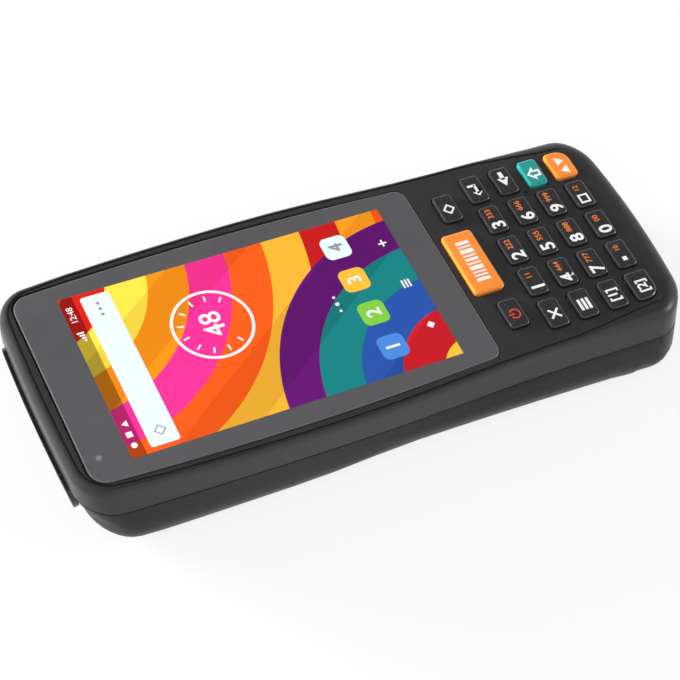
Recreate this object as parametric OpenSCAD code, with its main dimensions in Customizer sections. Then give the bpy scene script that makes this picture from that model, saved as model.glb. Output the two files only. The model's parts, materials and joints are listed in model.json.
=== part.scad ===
// Hand-held bar-code data terminal with a touch display and a 23-key keypad.
// It lies on its back: +Z out of the display, +Y towards the scan window, origin under the middle.

/* [Body] */
// Overall length, scan window bezel included
overall_len = 172.9; // [165:0.1:190]
// Width at the widest place, low on the side walls
body_w = 70.6; // [66:0.1:78]
// Thickness from the plane it lies on to the front face
body_thick = 25; // [24.2:0.1:30]
// Depth of the parting line below the front face
parting_depth = 8.5; // [8:0.1:9]
// Thickness of the housing walls beside the keypad
wall = 2.5; // [2.3:0.05:3]
// Thickness of the front plate that carries the glass and the keys
front_plate = 2.8; // [2.6:0.05:3.2]
// How far the front edge lies inside the widest outline beside the display
front_mid_in = 1.2; // [0.6:0.1:2]
// The same beside the keypad
front_key_in = 3.3; // [2.6:0.1:3.5]
// The same at the scanner end
front_tip_in = 3.1; // [2.5:0.1:3.6]
// Distance from the middle to the place where the front is widest
bulge_y = 14.9; // [5:0.1:25]
// Length over which the front narrows down to the keypad's width
narrow_len = 58.1; // [45:0.1:65]

/* [Ends and corners] */
// How far the scanner end leans back from the front edge to the widest level
top_lean = 1.25; // [0.5:0.05:2]
// How far it leans back further below the parting line
end_lean = 2; // [1:0.1:2.5]
// How far the keypad end runs out below the front edge
bottom_lean = 1.7; // [0.5:0.05:2.5]
// Bow of the scanner end, 30 mm from the middle
top_crown = 0.9; // [0.5:0.05:1.6]
// Bow of the keypad end, 30 mm from the middle
bottom_crown = 2; // [0.5:0.05:2.2]
// Corner radius at the front, scanner end
front_top_corner = 9.3; // [8:0.1:10]
// Corner radius at the front, keypad end
front_bottom_corner = 10.5; // [9.5:0.1:11.5]
// Corner radius low on the walls, scanner end
low_top_corner = 12; // [10:0.1:14]
// Corner radius low on the walls, keypad end
low_bottom_corner = 12.6; // [11:0.1:14]

/* [Front edge] */
// Height of the rounding at the front edge
edge_drop = 2.75; // [2:0.05:3.2]
// Width of that rounding along the sides
edge_in = 1.1; // [0.8:0.05:1.6]
// Width of that rounding round the scanner end
top_edge_in = 1.75; // [1:0.05:2]
// Width of that rounding round the keypad end
bottom_edge_in = 4; // [3:0.1:4.5]
// Width of the lip between the rounding and the groove
lip_w = 0.15; // [0.1:0.05:0.3]
// Width of the groove that frames the front face
groove_w = 0.55; // [0.4:0.05:0.8]
// Depth of the groove
groove_depth = 0.55; // [0.2:0.05:0.7]

/* [Back] */
// Radius of the rounding between the walls and the back
back_round = 8.5; // [7:0.1:9]
// Rise of the finger hollow across the back
arch_rise = 2.45; // [1.5:0.05:2.6]
// Rise of the back at the scanner end
tip_rise = 2.4; // [0.5:0.1:3]
// Height of the resting rib near the keypad end
heel_rib = 0.5; // [0.2:0.05:0.6]
// Distance of that rib's far edge from the keypad end
heel_from_end = 17.9; // [17:0.1:19]
// Chamfer along the parting line
parting_chamfer = 0.3; // [0.1:0.05:0.4]
// Radius of the rear camera window
camera_r = 4.2; // [3.4:0.1:4.6]
// Number of slots in front of the loudspeaker
speaker_slots = 5; // [3:1:5]

/* [Glass and display] */
// Distance from the widest outline to the widest place of the touch glass
rim_w = 4.8; // [4.6:0.1:6]
// How much the glass narrows from its middle to its ends, each side
glass_bow = 1.7; // [0.5:0.1:1.9]
// Thickness of the touch glass
glass_t = 1.1; // [0.9:0.05:1.3]
// Distance of the glass from the front edge at the scanner end
glass_from_end = 4.55; // [4.3:0.05:6]
// Distance between the glass and the scan key
glass_to_key = 1.88; // [1.6:0.01:3]
// Corner radius of the glass, scanner end
glass_top_r = 4.6; // [3:0.1:6]
// Corner radius of the glass, keypad end
glass_bottom_r = 3; // [2:0.1:5]
// Gap round the glass at the scanner end and beside the display
glass_gap = 0.55; // [0.3:0.05:0.6]
// Gap round the glass at the keypad end
glass_low_gap = 0.2; // [0.1:0.05:0.4]
// Thickness of the adhesive frame under the glass
adhesive_t = 0.3; // [0.2:0.05:0.5]
// Distance of the display module from the widest place of the glass
display_side = 3.8; // [3.6:0.1:5]
// Distance of the display module from the glass edge, scanner end
display_top = 7.95; // [7:0.05:9]
// The same at the keypad end
display_low = 6.1; // [5:0.1:8]
// Thickness of the display module
display_t = 1.9; // [1.6:0.05:2.1]
// Play round the display module
display_gap = 0.4; // [0.2:0.05:0.6]

/* [Keypad] */
// Distance from the widest outline to the outer keys
key_side = 8.94; // [8.5:0.02:10]
// Width of the web between two columns of keys
key_web = 1.93; // [1.6:0.01:2.6]
// Height of a key
key_h = 5.6; // [5:0.1:6]
// Distance between the rows
pitch_y = 8.87; // [8.5:0.01:9.2]
// Distance of the last row from the keypad end
last_row_from_end = 13.89; // [13.6:0.01:14.5]
// Height of the two corner keys of the last row
corner_key_h = 6.8; // [5.8:0.1:7]
// Radius of the wide outer corner of those two keys
corner_key_r = 3.5; // [2:0.1:4]
// Width of the scan key
scan_w = 20.2; // [17:0.1:22]
// Height of the scan key
scan_h = 8.8; // [7:0.1:9.5]
// Distance between the scan key and the first row of digits
scan_gap = 4.8; // [4.2:0.1:6]
// Gap between the scan key and the keys on both sides of it
top_key_gap = 3.8; // [3:0.1:4.5]
// How far those two keys lie below the middle of the scan key
top_key_drop = 2.1; // [1:0.1:2.4]
// Height that the keys stand above the front face
key_proud = 1; // [0.6:0.05:1.4]
// Travel of a key
key_travel = 0.7; // [0.4:0.05:0.8]
// Gap between a key and the edge of its hole
key_gap = 0.25; // [0.15:0.05:0.35]
// Corner radius of a key
key_r = 1.1; // [0.8:0.1:1.8]

/* [Battery and cover] */
// Length of the battery pack
battery_len = 53; // [45:0.5:55]
// Lap of the cover over each end of the battery pack
cover_lap = 1.5; // [1.2:0.1:2.5]
// Lap of the cover over each side of the battery pack, with room for its screws
cover_side = 5.3; // [5:0.1:5.6]
// Gap round the battery cover
cover_gap = 0.2; // [0.1:0.05:0.3]
// Thickness of the cover where the back is hollowest
cover_t = 2.15; // [1.9:0.05:2.4]

/* [Scan window and port] */
// Distance from the widest outline to the sides of the scan window bezel
bezel_side = 11.3; // [8:0.1:14]
// Height of the bezel along its slope
bezel_h = 10.4; // [10:0.1:11]
// Thickness of the bezel in its middle
bezel_t = 2.1; // [2:0.05:2.5]
// Corner radius of the bezel
bezel_r = 5; // [3:0.1:5]
// Width of the frame between the bezel's sides and the window
bezel_frame = 5; // [5:0.1:9]
// How far the bezel stands out of the scanner end
bezel_proud = 1; // [0.5:0.05:1.2]
// Backward lean of the bezel in degrees
bezel_lean = 14; // [10:0.5:16]
// Width of the port flap
flap_w = 14; // [12:0.1:16]
// Height of the port flap
flap_h = 5.4; // [5:0.1:5.6]
// Thickness of the port flap
flap_t = 1.7; // [1.5:0.05:1.9]

/* [Fasteners] */
// Shank radius of the screws
screw_r = 1; // [0.9:0.05:1.1]
// Head radius of the screws
head_r = 1.9; // [1.7:0.05:1.95]
// Head height of the screws
head_h = 1.4; // [1:0.1:1.45]
// Outer radius of the threaded inserts
insert_r = 1.5; // [1.4:0.05:1.6]
// Length of the threaded inserts
insert_len = 4.6; // [3:0.1:5]
// Radius of the bosses and posts that take the housing screws
boss_r = 2.2; // [2.1:0.05:2.3]

/* [Hidden] */
TOP_KEYS = ["key_power", "key_scan", "key_shortcut"];
GRID_KEYS = [
    ["key_function_2", "key_star", "key_0", "key_hash", "key_case"],
    ["key_function_1", "key_7", "key_8", "key_9", "key_shift"],
    ["key_menu", "key_4", "key_5", "key_6", "key_arrow"],
    ["key_escape", "key_1", "key_2", "key_3", "key_enter"]
];
KEY_NAMES = concat(TOP_KEYS, [for (row = GRID_KEYS) each row]);
$fn = 48;

// general clearances
clear = 0.3;
fit = 0.03;
seam = 0.1;
over = 1;
slice = 0.02;

// levels, from the front face down
parting_z = body_thick - parting_depth;
edge_z = body_thick - edge_drop;
ceiling_z = body_thick - front_plate;
glass_z = body_thick - glass_t;
ledge_z = glass_z - adhesive_t;
display_z = glass_z - display_t;
frame_t = 1;
frame_z = display_z - frame_t;
flange_t = 0.5;
flange_top_z = ceiling_z - 0.2;
nub_z = flange_top_z - flange_t - 0.1;
dome_t = 0.25;
keyboard_top_z = nub_z - key_travel - dome_t - 0.05;
keyboard_t = 0.8;
keyboard_z = keyboard_top_z - keyboard_t;
board_t = 1;
board_top_z = keyboard_z - clear;
board_z = board_top_z - board_t;
card_t = 1.5;
card_z = board_z - card_t;
deck_z = card_z - 1;
bay_z = deck_z - 1.5;
port_z = parting_z - 3.6;

// levels, from the back up
seat_z = arch_rise + cover_t;
floor_z = seat_z - 0.2;
well_floor_z = 2.4;
end_floor_z = 3.6;
battery_z = seat_z + seam;
battery_t = bay_z - clear - battery_z;
post_top_z = 11.8;
boss_bottom_z = post_top_z + clear;

// share of the way from the front edge down to the widest level
function low_share(z) = max(0, min(1, (edge_z - z) / (edge_z - back_round)));
parting_low = low_share(parting_z);

// ends of the outline at a share
end_y = overall_len / 2;
function top_end(low) = end_y - bezel_proud + top_lean * (parting_low - low)
    - end_lean * max(0, (low - parting_low) / (1 - parting_low));
function bottom_end(low) = bottom_lean * (1 - low) - end_y;

// keypad, placed from the keypad end
pitch_x = (body_w - 2 * key_side + key_web) / 5;
key_w = pitch_x - key_web;
last_row_y = last_row_from_end - end_y;
scan_key_y = last_row_y + 3 * pitch_y + key_h / 2 + scan_gap + scan_h / 2;
top_keys_y = scan_key_y - top_key_drop;
top_keys_x = scan_w / 2 + top_key_gap + key_w / 2;
key_flange = key_gap + 0.6;
keypad_top_y = scan_key_y + scan_h / 2 + key_flange + 0.5;

// glass and display, between the keypad and the scanner end
glass_w = body_w - 2 * rim_w;
glass_top_y = top_end(0) - glass_from_end;
glass_low_y = scan_key_y + scan_h / 2 + glass_to_key;
glass_len = glass_top_y - glass_low_y;
glass_y = (glass_top_y + glass_low_y) / 2;
display_w = glass_w - 2 * display_side;
display_len = glass_len - display_top - display_low;
display_low_y = glass_low_y + display_low;
display_y = display_low_y + display_len / 2;

// inside of the housings
pocket_half = body_w / 2 - front_key_in - wall;
pocket_top_y = top_end(0) - 6;
pocket_bottom_y = bottom_end(0) + wall;
pocket_r = 9;
end_step = 2.5;
step_h = 3;

// housing screws: x, y, height of the head's seat
SCREWS = [
    [pocket_half - 7.5, pocket_top_y - 3.5, floor_z - 0.4],
    [pocket_half - boss_r - 0.2, display_low_y - 5, seat_z + head_h + 0.25],
    [pocket_half - 6, last_row_y - corner_key_h / 2 - key_flange - clear - boss_r, end_floor_z + 0.4]
];

// battery bay and cover, below the middle screws
battery_w = 2 * (SCREWS[1].x - boss_r - 1);
battery_gap = 0.25;
cover_w = battery_w + 2 * cover_side;
cover_len = battery_len + 2 * cover_lap;
bay_y = SCREWS[1].y - 9.5;
cover_low_y = bay_y - cover_len / 2;
cover_top_y = bay_y + cover_len / 2;

// places along the back
heel_y = heel_from_end - end_y;
arch_y = bay_y + 31;
arch_end_y = 9.3 - end_y;
well_len = 30;
well_y = pocket_top_y - 19 - well_len / 2;
flat_from_y = well_y - 18;
flat_to_y = well_y + 14;
narrow_y = bulge_y - narrow_len;

// ---------- outline and skin ----------
function mix(a, b, t) = a + (b - a) * t;
function smooth(t) = let (c = max(0, min(1, t))) c * c * (3 - 2 * c);

// how far the front outline lies inside the widest one
function front_in(y) = y < bulge_y
    ? mix(front_key_in, front_mid_in, smooth((y - narrow_y) / narrow_len))
    : mix(front_mid_in, front_tip_in, pow((y - bulge_y) / (end_y - 9.5 - bulge_y), 2));
function half_w(y, low) = body_w / 2 - (1 - low) * front_in(y);

// places between the corners where the side wall has a point
SIDE_Y = concat(
    [heel_y - 0.5, heel_y, heel_y + 2.4, heel_y + 4.8],
    [for (i = [0:11]) mix(heel_y + 7.2, end_y - 21, i / 11)]
);
arc_steps = 8;

// right half of the outline at one level, from the keypad end's middle to the scanner end's middle
function half_outline(low) = let (
    rt = mix(front_top_corner, low_top_corner, low),
    rb = mix(front_bottom_corner, low_bottom_corner, low),
    yt = top_end(low) - rt,
    yb = bottom_end(low) + rb,
    xt = half_w(yt, low) - rt,
    xb = half_w(yb, low) - rb,
    flat = concat(
        [for (i = [0:2]) [xb * i / 3, yb - rb]],
        [for (i = [0:arc_steps]) let (a = 90 * i / arc_steps) [xb + rb * sin(a), yb - rb * cos(a)]],
        [for (y = SIDE_Y) [half_w(y, low), y]],
        [for (i = [0:arc_steps]) let (a = 90 * i / arc_steps) [xt + rt * cos(a), yt + rt * sin(a)]],
        [for (i = [2:-1:0]) [xt * i / 3, yt + rt]]
    )
) [for (p = flat) [p.x, p.y
    - top_crown * pow(p.x / 30, 2) * max(0, min(1, (p.y - yt) / rt))
    + bottom_crown * pow(p.x / 30, 2) * max(0, min(1, (yb - p.y) / rb))]];

function outline(low) = let (h = half_outline(low), n = len(h))
    concat(h, [for (i = [n - 2:-1:1]) [-h[i].x, h[i].y]]);

// direction into the body at point i of a closed outline
function inward(o, i) = let (n = len(o), d = o[(i + 1) % n] - o[(i + n - 1) % n]) [-d.y, d.x] / norm(d);
function inset_outline(low, by) = let (o = outline(low)) [for (i = [0:len(o) - 1]) o[i] + inward(o, i) * by];

// height of the back: flat under the display, hollow in the middle, a rib near the keypad end
function arch(y) = y > arch_y
    ? arch_rise * smooth((flat_from_y - y) / (flat_from_y - arch_y))
    : arch_rise * max(0, 1 - pow((arch_y - y) / (arch_y - arch_end_y), 2));
function tip(y) = y > flat_to_y ? tip_rise * pow((y - flat_to_y) / (end_y - 5.7 - flat_to_y), 2) : 0;
function rib(y) = y < heel_y - slice ? 0 : heel_rib * smooth((heel_y + 7 - y) / 4.5);
function back_z(y) = max(0, arch(y) + tip(y) - rib(y));

// share of the keypad end in the rounding's width and height, whole width, and what is left of the groove
function bottom_share(y) = smooth((42.5 - y - end_y) / 35);
function edge_span(y) = edge_in
    + (top_edge_in - edge_in) * smooth((y - end_y + 18) / 14)
    + (bottom_edge_in - edge_in) * bottom_share(y);
function groove_share(y) = 1 - smooth((16 - y - end_y) / 10);

// one ring of the front rounding or of the groove: angle on the curve, further inset, further drop
function front_ring(angle, more_in, more_drop) = let (o = outline(0)) [for (i = [0:len(o) - 1]) let (
    y = o[i].y,
    drop = mix(edge_drop, 0.8 * bottom_edge_in, bottom_share(y)),
    p = o[i] + inward(o, i) * (edge_span(y) * (1 - cos(angle)) + more_in)
) [p.x, p.y, body_thick - drop * (1 - sin(angle)) - more_drop * groove_share(y)]];

// one ring of the wall at a height, and one of the rounding towards the back
function wall_ring(z, by) = [for (p = inset_outline(low_share(z), by))
    [p.x, p.y, z + back_z(p.y) * max(0, min(1, (15 - z) / (15 - back_round)))]];
function back_ring(angle) = [for (p = inset_outline(1, back_round * (1 - cos(angle))))
    [p.x, p.y, back_round * (1 - sin(angle)) + back_z(p.y)]];

// closed body through rings of equal length, with a flat strip cap at each end
module skin(rings)
{
    n = len(rings[0]);
    last = (len(rings) - 1) * n;
    side = [for (k = [0:len(rings) - 2], i = [0:n - 1]) let (
        a = k * n + i,
        b = k * n + (i + 1) % n
    ) each [[a, a + n, b], [b, a + n, b + n]]];
    cap = [for (i = [0:n / 2 - 1]) let (
        a = i,
        b = i + 1,
        c = (n - i) % n,
        d = n - i - 1
    ) each concat(i > 0 ? [[a, b, c]] : [], d > b ? [[b, d, c]] : [])];
    polyhedron(
        points = [for (r = rings) each r],
        faces = concat(side, cap, [for (f = cap) [f[2] + last, f[1] + last, f[0] + last]]),
        convexity = 6
    );
}

module front_skin()
{
    skin(concat(
        [wall_ring(parting_z, parting_chamfer), wall_ring(parting_z + parting_chamfer, 0)],
        [for (a = [0:22.5:90]) front_ring(a, 0, 0)],
        [
            front_ring(90, lip_w, 0),
            front_ring(90, lip_w + 0.05, groove_depth),
            front_ring(90, lip_w + groove_w - 0.05, groove_depth),
            front_ring(90, lip_w + groove_w, 0)
        ]
    ));
}

module rear_skin()
{
    skin(concat(
        [for (a = [90:-15:15]) back_ring(a)],
        [for (z = [back_round, 11.5, 14.5]) wall_ring(z, 0)],
        [wall_ring(parting_z - parting_chamfer, 0), wall_ring(parting_z, parting_chamfer)]
    ));
}

// ---------- small helpers ----------
module slab(w, l, h, r)
{
    linear_extrude(h) round_rect(w, l, r);
}

module round_rect(w, l, r)
{
    square([w - 2 * r, l], center = true);
    square([w, l - 2 * r], center = true);
    for (sx = [-1, 1], sy = [-1, 1])
        translate([sx * (w / 2 - r), sy * (l / 2 - r)]) circle(r);
}

module both_sides()
{
    children();
    mirror([1, 0, 0]) children();
}

module at_screws()
{
    both_sides() for (s = SCREWS) translate([s.x, s.y]) children();
}

// inside of the housings, seen from above, grown by a margin
module pocket_shape(by = 0)
{
    translate([0, (pocket_top_y + pocket_bottom_y) / 2])
        round_rect(2 * (pocket_half + by), pocket_top_y - pocket_bottom_y + 2 * by, pocket_r + by);
}

// a board that fills the pocket between two places and leaves room for the bosses
module board_shape(from_y, to_y)
{
    difference()
    {
        intersection()
        {
            pocket_shape(-clear);
            translate([-pocket_half, from_y]) square([2 * pocket_half, to_y - from_y]);
        }
        at_screws() circle(boss_r + clear);
    }
}

// ---------- keys ----------
// place, width and height of each key, in the order of KEY_NAMES
KEY_PLACES = concat(
    [
        [-top_keys_x, top_keys_y, key_w, key_h],
        [0, scan_key_y, scan_w, scan_h],
        [top_keys_x, top_keys_y, key_w, key_h]
    ],
    [for (row = [0:3], column = [-2:2]) [
        column * pitch_x,
        last_row_y + row * pitch_y,
        key_w,
        row == 0 && abs(column) == 2 ? corner_key_h : key_h
    ]]
);

// outline of a key, grown by a margin; the two corner keys have one wide outer corner
module key_shape(k, by = 0)
{
    w = k[2] / 2 + by;
    h = k[3] / 2 + by;
    r = key_r + by;
    if (k[3] == corner_key_h)
    {
        wide = corner_key_r + by;
        out = sign(k.x);
        polygon([
            [out * w, h - r], [out * (w - r), h], [out * (r - w), h], [-out * w, h - r],
            [-out * w, r - h], [out * (r - w), -h], [out * (w - wide), -h], [out * w, wide - h]
        ]);
        translate([out * (w - r), h - r]) circle(r);
        translate([out * (r - w), h - r]) circle(r);
        translate([out * (r - w), r - h]) circle(r);
        translate([out * (w - wide), wide - h]) circle(wide);
    }
    else
        round_rect(2 * w, 2 * h, r);
}

function key_colour(name) = name == "key_scan" || name == "key_case" ? [0.94, 0.47, 0.15]
    : name == "key_shift" ? [0.1, 0.62, 0.58] : [0.13, 0.13, 0.14];

// cap with a rounded top over a straight stem, and the flange that holds it under the front plate
module key(k)
{
    cap_z = body_thick + key_proud;
    shoulder_z = cap_z - 0.8;
    translate([k.x, k.y])
    {
        hull()
        {
            translate([0, 0, cap_z - slice]) linear_extrude(slice) key_shape(k, -0.75, $fn = 16);
            translate([0, 0, cap_z - 0.22]) linear_extrude(slice) key_shape(k, -0.22, $fn = 16);
            translate([0, 0, shoulder_z]) linear_extrude(slice) key_shape(k, 0, $fn = 16);
        }
        translate([0, 0, flange_top_z]) linear_extrude(shoulder_z - flange_top_z) key_shape(k);
        translate([0, 0, flange_top_z - flange_t])
            slab(k[2] - 0.2, k[3] + 2 * key_flange, flange_t, 0.5);
        translate([0, 0, nub_z]) cylinder(r = 1.2, h = flange_top_z - nub_z);
    }
}

// ---------- housings ----------
module front_housing()
{
    color([0.2, 0.2, 0.21]) difference()
    {
        union()
        {
            difference()
            {
                front_skin();
                translate([0, 0, parting_z - over])
                    linear_extrude(ceiling_z - parting_z + over) pocket_shape();
            }
            at_screws() translate([0, 0, boss_bottom_z])
                cylinder(r = boss_r, h = ceiling_z - boss_bottom_z + slice);
        }
        translate([0, 0, ledge_z]) linear_extrude(body_thick) glass_shape(glass_gap, glass_low_gap);
        display_space(parting_z, body_thick);
        for (k = KEY_PLACES)
            translate([k.x, k.y, parting_z]) linear_extrude(body_thick) key_shape(k, key_gap);
        translate([mic_x, mic_y, parting_z]) cylinder(r = 0.5, h = body_thick);
        at_screws() translate([0, 0, boss_bottom_z - over])
            cylinder(r = insert_r + fit, h = insert_len + over + clear);
    }
}

// hollows of the rear housing: over the battery bay, under the display, at the loudspeaker, at the port
module rear_hollows()
{
    translate([0, 0, deck_z]) linear_extrude(body_thick) pocket_shape();
    // beyond the battery cover, with a step that follows the rounding of the scanner end
    for (level = [[floor_z, end_step], [floor_z + step_h, -over]])
        translate([0, 0, level[0]]) linear_extrude(body_thick) intersection()
        {
            pocket_shape();
            translate([-body_w, cover_top_y + 3])
                square([2 * body_w, pocket_top_y - level[1] - cover_top_y - 3]);
        }
    translate([0, well_y, well_floor_z]) slab(2 * (pocket_half - 3.6), well_len, body_thick, 3);
    translate([0, end_pocket_y, end_floor_z]) slab(2 * end_pocket_half, end_pocket_l, body_thick, 2);
}

module battery_bay()
{
    seat_gap = 2 * cover_gap;
    translate([0, bay_y, -over]) slab(cover_w + seat_gap, cover_len + seat_gap, seat_z + over, 3 + cover_gap);
    translate([0, bay_y, -over])
        slab(battery_w + 2 * battery_gap, battery_len + 2 * battery_gap, bay_z + over, 1.5);
    translate([0, contact_y, contact_z])
        slab(contact_size.x + 0.2, contact_size.y + 0.2, contact_size.z + 0.1, 0.3);
    both_sides() translate([COVER_SCREW.x, COVER_SCREW.y])
        cylinder(r = screw_r + fit, h = cover_seat_z + cover_screw_len + clear);
}

module rear_screw_holes()
{
    at_screws() translate([0, 0, post_top_z]) cylinder(r = boss_r + clear, h = body_thick);
    at_screws() cylinder(r = screw_r + 0.2, h = body_thick);
    both_sides() for (s = SCREWS) translate([s.x, s.y, -over]) cylinder(r = head_r + 0.15, h = s.z + over);
}

module camera_and_speaker_holes()
{
    translate([camera_x, camera_y, -over]) cylinder(r = camera_r + ring_w + fit, h = 1 + over);
    translate([camera_x, camera_y, -over]) cylinder(r = camera_r + fit, h = 1.2 + over);
    translate([camera_x, camera_y, 0]) cylinder(r = camera_hole_r, h = well_floor_z + over);
    translate([camera_x, flash_y, -over]) cylinder(r = flash_r + fit, h = 1.4 + over);
    translate([camera_x, flash_y, 0]) cylinder(r = flash_r - 0.6, h = well_floor_z + over);
    for (i = [0:speaker_slots - 1])
        translate([speaker_x, speaker_y + (i - (speaker_slots - 1) / 2) * slot_pitch, -over])
            slab(slot_size.x, slot_size.y, well_floor_z + 2 * over, slot_size.y / 2 - slice);
}

module port_opening()
{
    flap_space = [flap_w + 0.4, 10, flap_h + 2 * clear];
    translate([-flap_space.x / 2, flap_in_y + seam - flap_space.y, flap_z - clear]) cube(flap_space);
    translate([0, port_front_y, port_z]) rotate([90, 0, 0]) translate([0, 0, -4])
        slab(port_w + 0.5, port_h + 0.5, 8, (port_h + 0.5) / 2 - slice);
}

module rear_housing()
{
    color([0.23, 0.23, 0.24]) difference()
    {
        union()
        {
            difference()
            {
                rear_skin();
                rear_hollows();
            }
            // posts of the upper screws and ribs under the port board
            both_sides() translate([SCREWS[0].x, SCREWS[0].y, floor_z - over])
                cylinder(r = boss_r, h = post_top_z - floor_z + over);
            both_sides() translate([rib_x, end_pocket_y - end_pocket_l / 2, end_floor_z - slice])
                cube([rib_w, end_pocket_l, port_board_z - end_floor_z + slice]);
        }
        battery_bay();
        rear_screw_holes();
        camera_and_speaker_holes();
        port_opening();
        // groove of the seal
        translate([0, 0, parting_z - seal_h - seam]) linear_extrude(over + seal_h) difference()
        {
            pocket_shape(seal_out + seal_w + 0.1);
            pocket_shape(seal_out - 0.1);
        }
        // seat of the scan window bezel and duct behind its window
        bezel_block(bezel_w + 0.24, bezel_h + 0.24, bezel_r + 0.12, -3, bezel_t + 0.12);
        translate([-window_w / 2, pocket_top_y - over, duct_z[0]])
            cube([window_w, 4.5 + over, duct_z[1] - duct_z[0]]);
    }
}

seal_h = 1;
seal_w = 0.9;
seal_out = 0.65;
module housing_seal()
{
    color([0.08, 0.08, 0.08]) translate([0, 0, parting_z - seal_h]) linear_extrude(seal_h) difference()
    {
        pocket_shape(seal_out + seal_w);
        pocket_shape(seal_out);
    }
}

// ---------- battery and cover ----------
contact_size = [14, 3, 6];
contact_pitch = 2.6;
contact_y = bay_y + battery_len / 2 + battery_gap + contact_size.y / 2;
contact_z = battery_z + 1;
COVER_SCREW = [(battery_w + cover_side) / 2, cover_low_y + 5.2];
cover_seat_z = back_z(COVER_SCREW.y) + head_h + 0.4;
cover_screw_len = 6.5;
hollow_y = cover_low_y + 12;
hollow_size = [battery_w - 4, 18];
hollow_z = 2.6;

module battery_cover()
{
    color([0.21, 0.21, 0.22]) difference()
    {
        intersection()
        {
            rear_skin();
            translate([0, bay_y, -over]) slab(cover_w, cover_len, seat_z - seam + over, 3);
        }
        // hollow behind the thick end
        translate([0, hollow_y, hollow_z]) slab(hollow_size.x, hollow_size.y, seat_z, 2);
        both_sides() translate([COVER_SCREW.x, COVER_SCREW.y, -over])
        {
            cylinder(r = screw_r + 0.2, h = 10);
            cylinder(r = head_r + 0.15, h = cover_seat_z + over);
        }
    }
}

// screw with a slotted pan head, head down
module screw(len)
{
    difference()
    {
        union()
        {
            translate([0, 0, -head_h]) cylinder(r = head_r, h = head_h);
            cylinder(r = screw_r, h = len);
        }
        translate([-head_r - over, -0.3, -head_h - over]) cube([2 * head_r + 2 * over, 0.6, over + 0.6]);
    }
}

module cover_screws()
{
    color([0.5, 0.5, 0.52]) both_sides()
        translate([COVER_SCREW.x, COVER_SCREW.y, cover_seat_z]) screw(cover_screw_len);
}

module housing_screws()
{
    color([0.3, 0.3, 0.32]) both_sides() for (s = SCREWS)
        translate([s.x, s.y, s.z]) screw(boss_bottom_z + insert_len - s.z);
}

module threaded_inserts()
{
    color([0.78, 0.6, 0.3]) at_screws() translate([0, 0, boss_bottom_z]) difference()
    {
        cylinder(r = insert_r, h = insert_len);
        translate([0, 0, -over]) cylinder(r = screw_r + fit, h = insert_len + 2 * over);
    }
}

module battery_pack()
{
    color([0.16, 0.17, 0.2]) translate([0, bay_y, battery_z]) difference()
    {
        slab(battery_w, battery_len, battery_t, 1.2);
        // recessed contact pads
        for (i = [-1.5:1:1.5])
            translate([i * contact_pitch - 0.7, battery_len / 2 - 0.4, 2.4]) cube([1.4, over, 3]);
    }
}

module battery_contacts()
{
    color([0.75, 0.65, 0.4]) translate([0, contact_y, contact_z]) difference()
    {
        slab(contact_size.x, contact_size.y, contact_size.z, 0.2);
        for (i = [-1.5:1:1.5])
            translate([i * contact_pitch - 0.9, -contact_size.y, 0.8]) cube([0.5, contact_size.y, 4.4]);
    }
}

// ---------- glass and display ----------
// half width of the glass, widest in its middle
function glass_half(y) = glass_w / 2 - glass_bow * pow((y - glass_y) / (glass_len / 2), 2);
side_steps = 10;
corner_steps = 6;

// right side of the glass outline, grown by one margin at the scanner end and another at the keypad end
function glass_side(top_by, low_by) = let (
    rt = glass_top_r + top_by,
    rl = glass_bottom_r + low_by,
    yt = glass_top_y + top_by - rt,
    yl = glass_low_y - low_by + rl,
    margin = function (y) mix(low_by, top_by, smooth((y - yl) / 30))
) concat(
    [for (i = [0:corner_steps - 1]) let (a = 90 * i / corner_steps)
        [glass_half(yl) + low_by - rl + rl * sin(a), yl - rl * cos(a)]],
    [for (i = [0:side_steps]) let (y = mix(yl, yt, i / side_steps)) [glass_half(y) + margin(y), y]],
    [for (i = [1:corner_steps]) let (a = 90 * i / corner_steps)
        [glass_half(yt) + top_by - rt + rt * cos(a), yt + rt * sin(a)]]
);

module glass_shape(top_by = 0, low_by = 0)
{
    side = glass_side(top_by, low_by);
    polygon(concat(side, [for (i = [len(side) - 1:-1:0]) [-side[i].x, side[i].y]]));
}

module display_space(from_z, height)
{
    translate([0, display_y, from_z])
        slab(display_w + 2 * display_gap, display_len + 2 * display_gap, height, 0.8);
}

module touch_glass()
{
    color([0.07, 0.07, 0.08]) translate([0, 0, glass_z]) linear_extrude(glass_t) glass_shape();
}

module glass_adhesive()
{
    color([0.1, 0.1, 0.1]) difference()
    {
        translate([0, 0, ledge_z]) linear_extrude(adhesive_t) glass_shape(-0.2, -0.2);
        display_space(ledge_z - over, adhesive_t + 2 * over);
    }
}

module display_module()
{
    color([0.15, 0.35, 0.6]) translate([0, display_y, display_z])
        slab(display_w, display_len, display_t, 0.5);
}

module mid_frame()
{
    color([0.6, 0.6, 0.62]) translate([0, 0, frame_z]) linear_extrude(frame_t) difference()
    {
        board_shape(display_low_y - 1, display_low_y + display_len + 2);
        // openings over the components
        for (i = [-1:1]) translate([0, display_y + i * display_len / 3])
            round_rect(0.6 * display_w, display_len / 4.5, 3);
    }
}

// ---------- boards ----------
module main_board()
{
    color([0.05, 0.3, 0.2]) translate([0, 0, board_z]) linear_extrude(board_t)
        board_shape(pocket_bottom_y, pocket_top_y);
}

module board_shields()
{
    half = pocket_half - 4;
    shield_h = frame_z - clear - board_top_z;
    color([0.7, 0.7, 0.7]) translate([0, 0, board_top_z])
    {
        // radio and power side by side, processor below them
        for (s = [-1, 1]) translate([s * (half / 2 + 0.5), display_y + display_len / 4])
            slab(half - 1, 0.3 * display_len, shield_h, 1);
        translate([0, display_y - display_len / 8]) slab(1.8 * half, 0.28 * display_len, shield_h, 1);
    }
}

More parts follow.
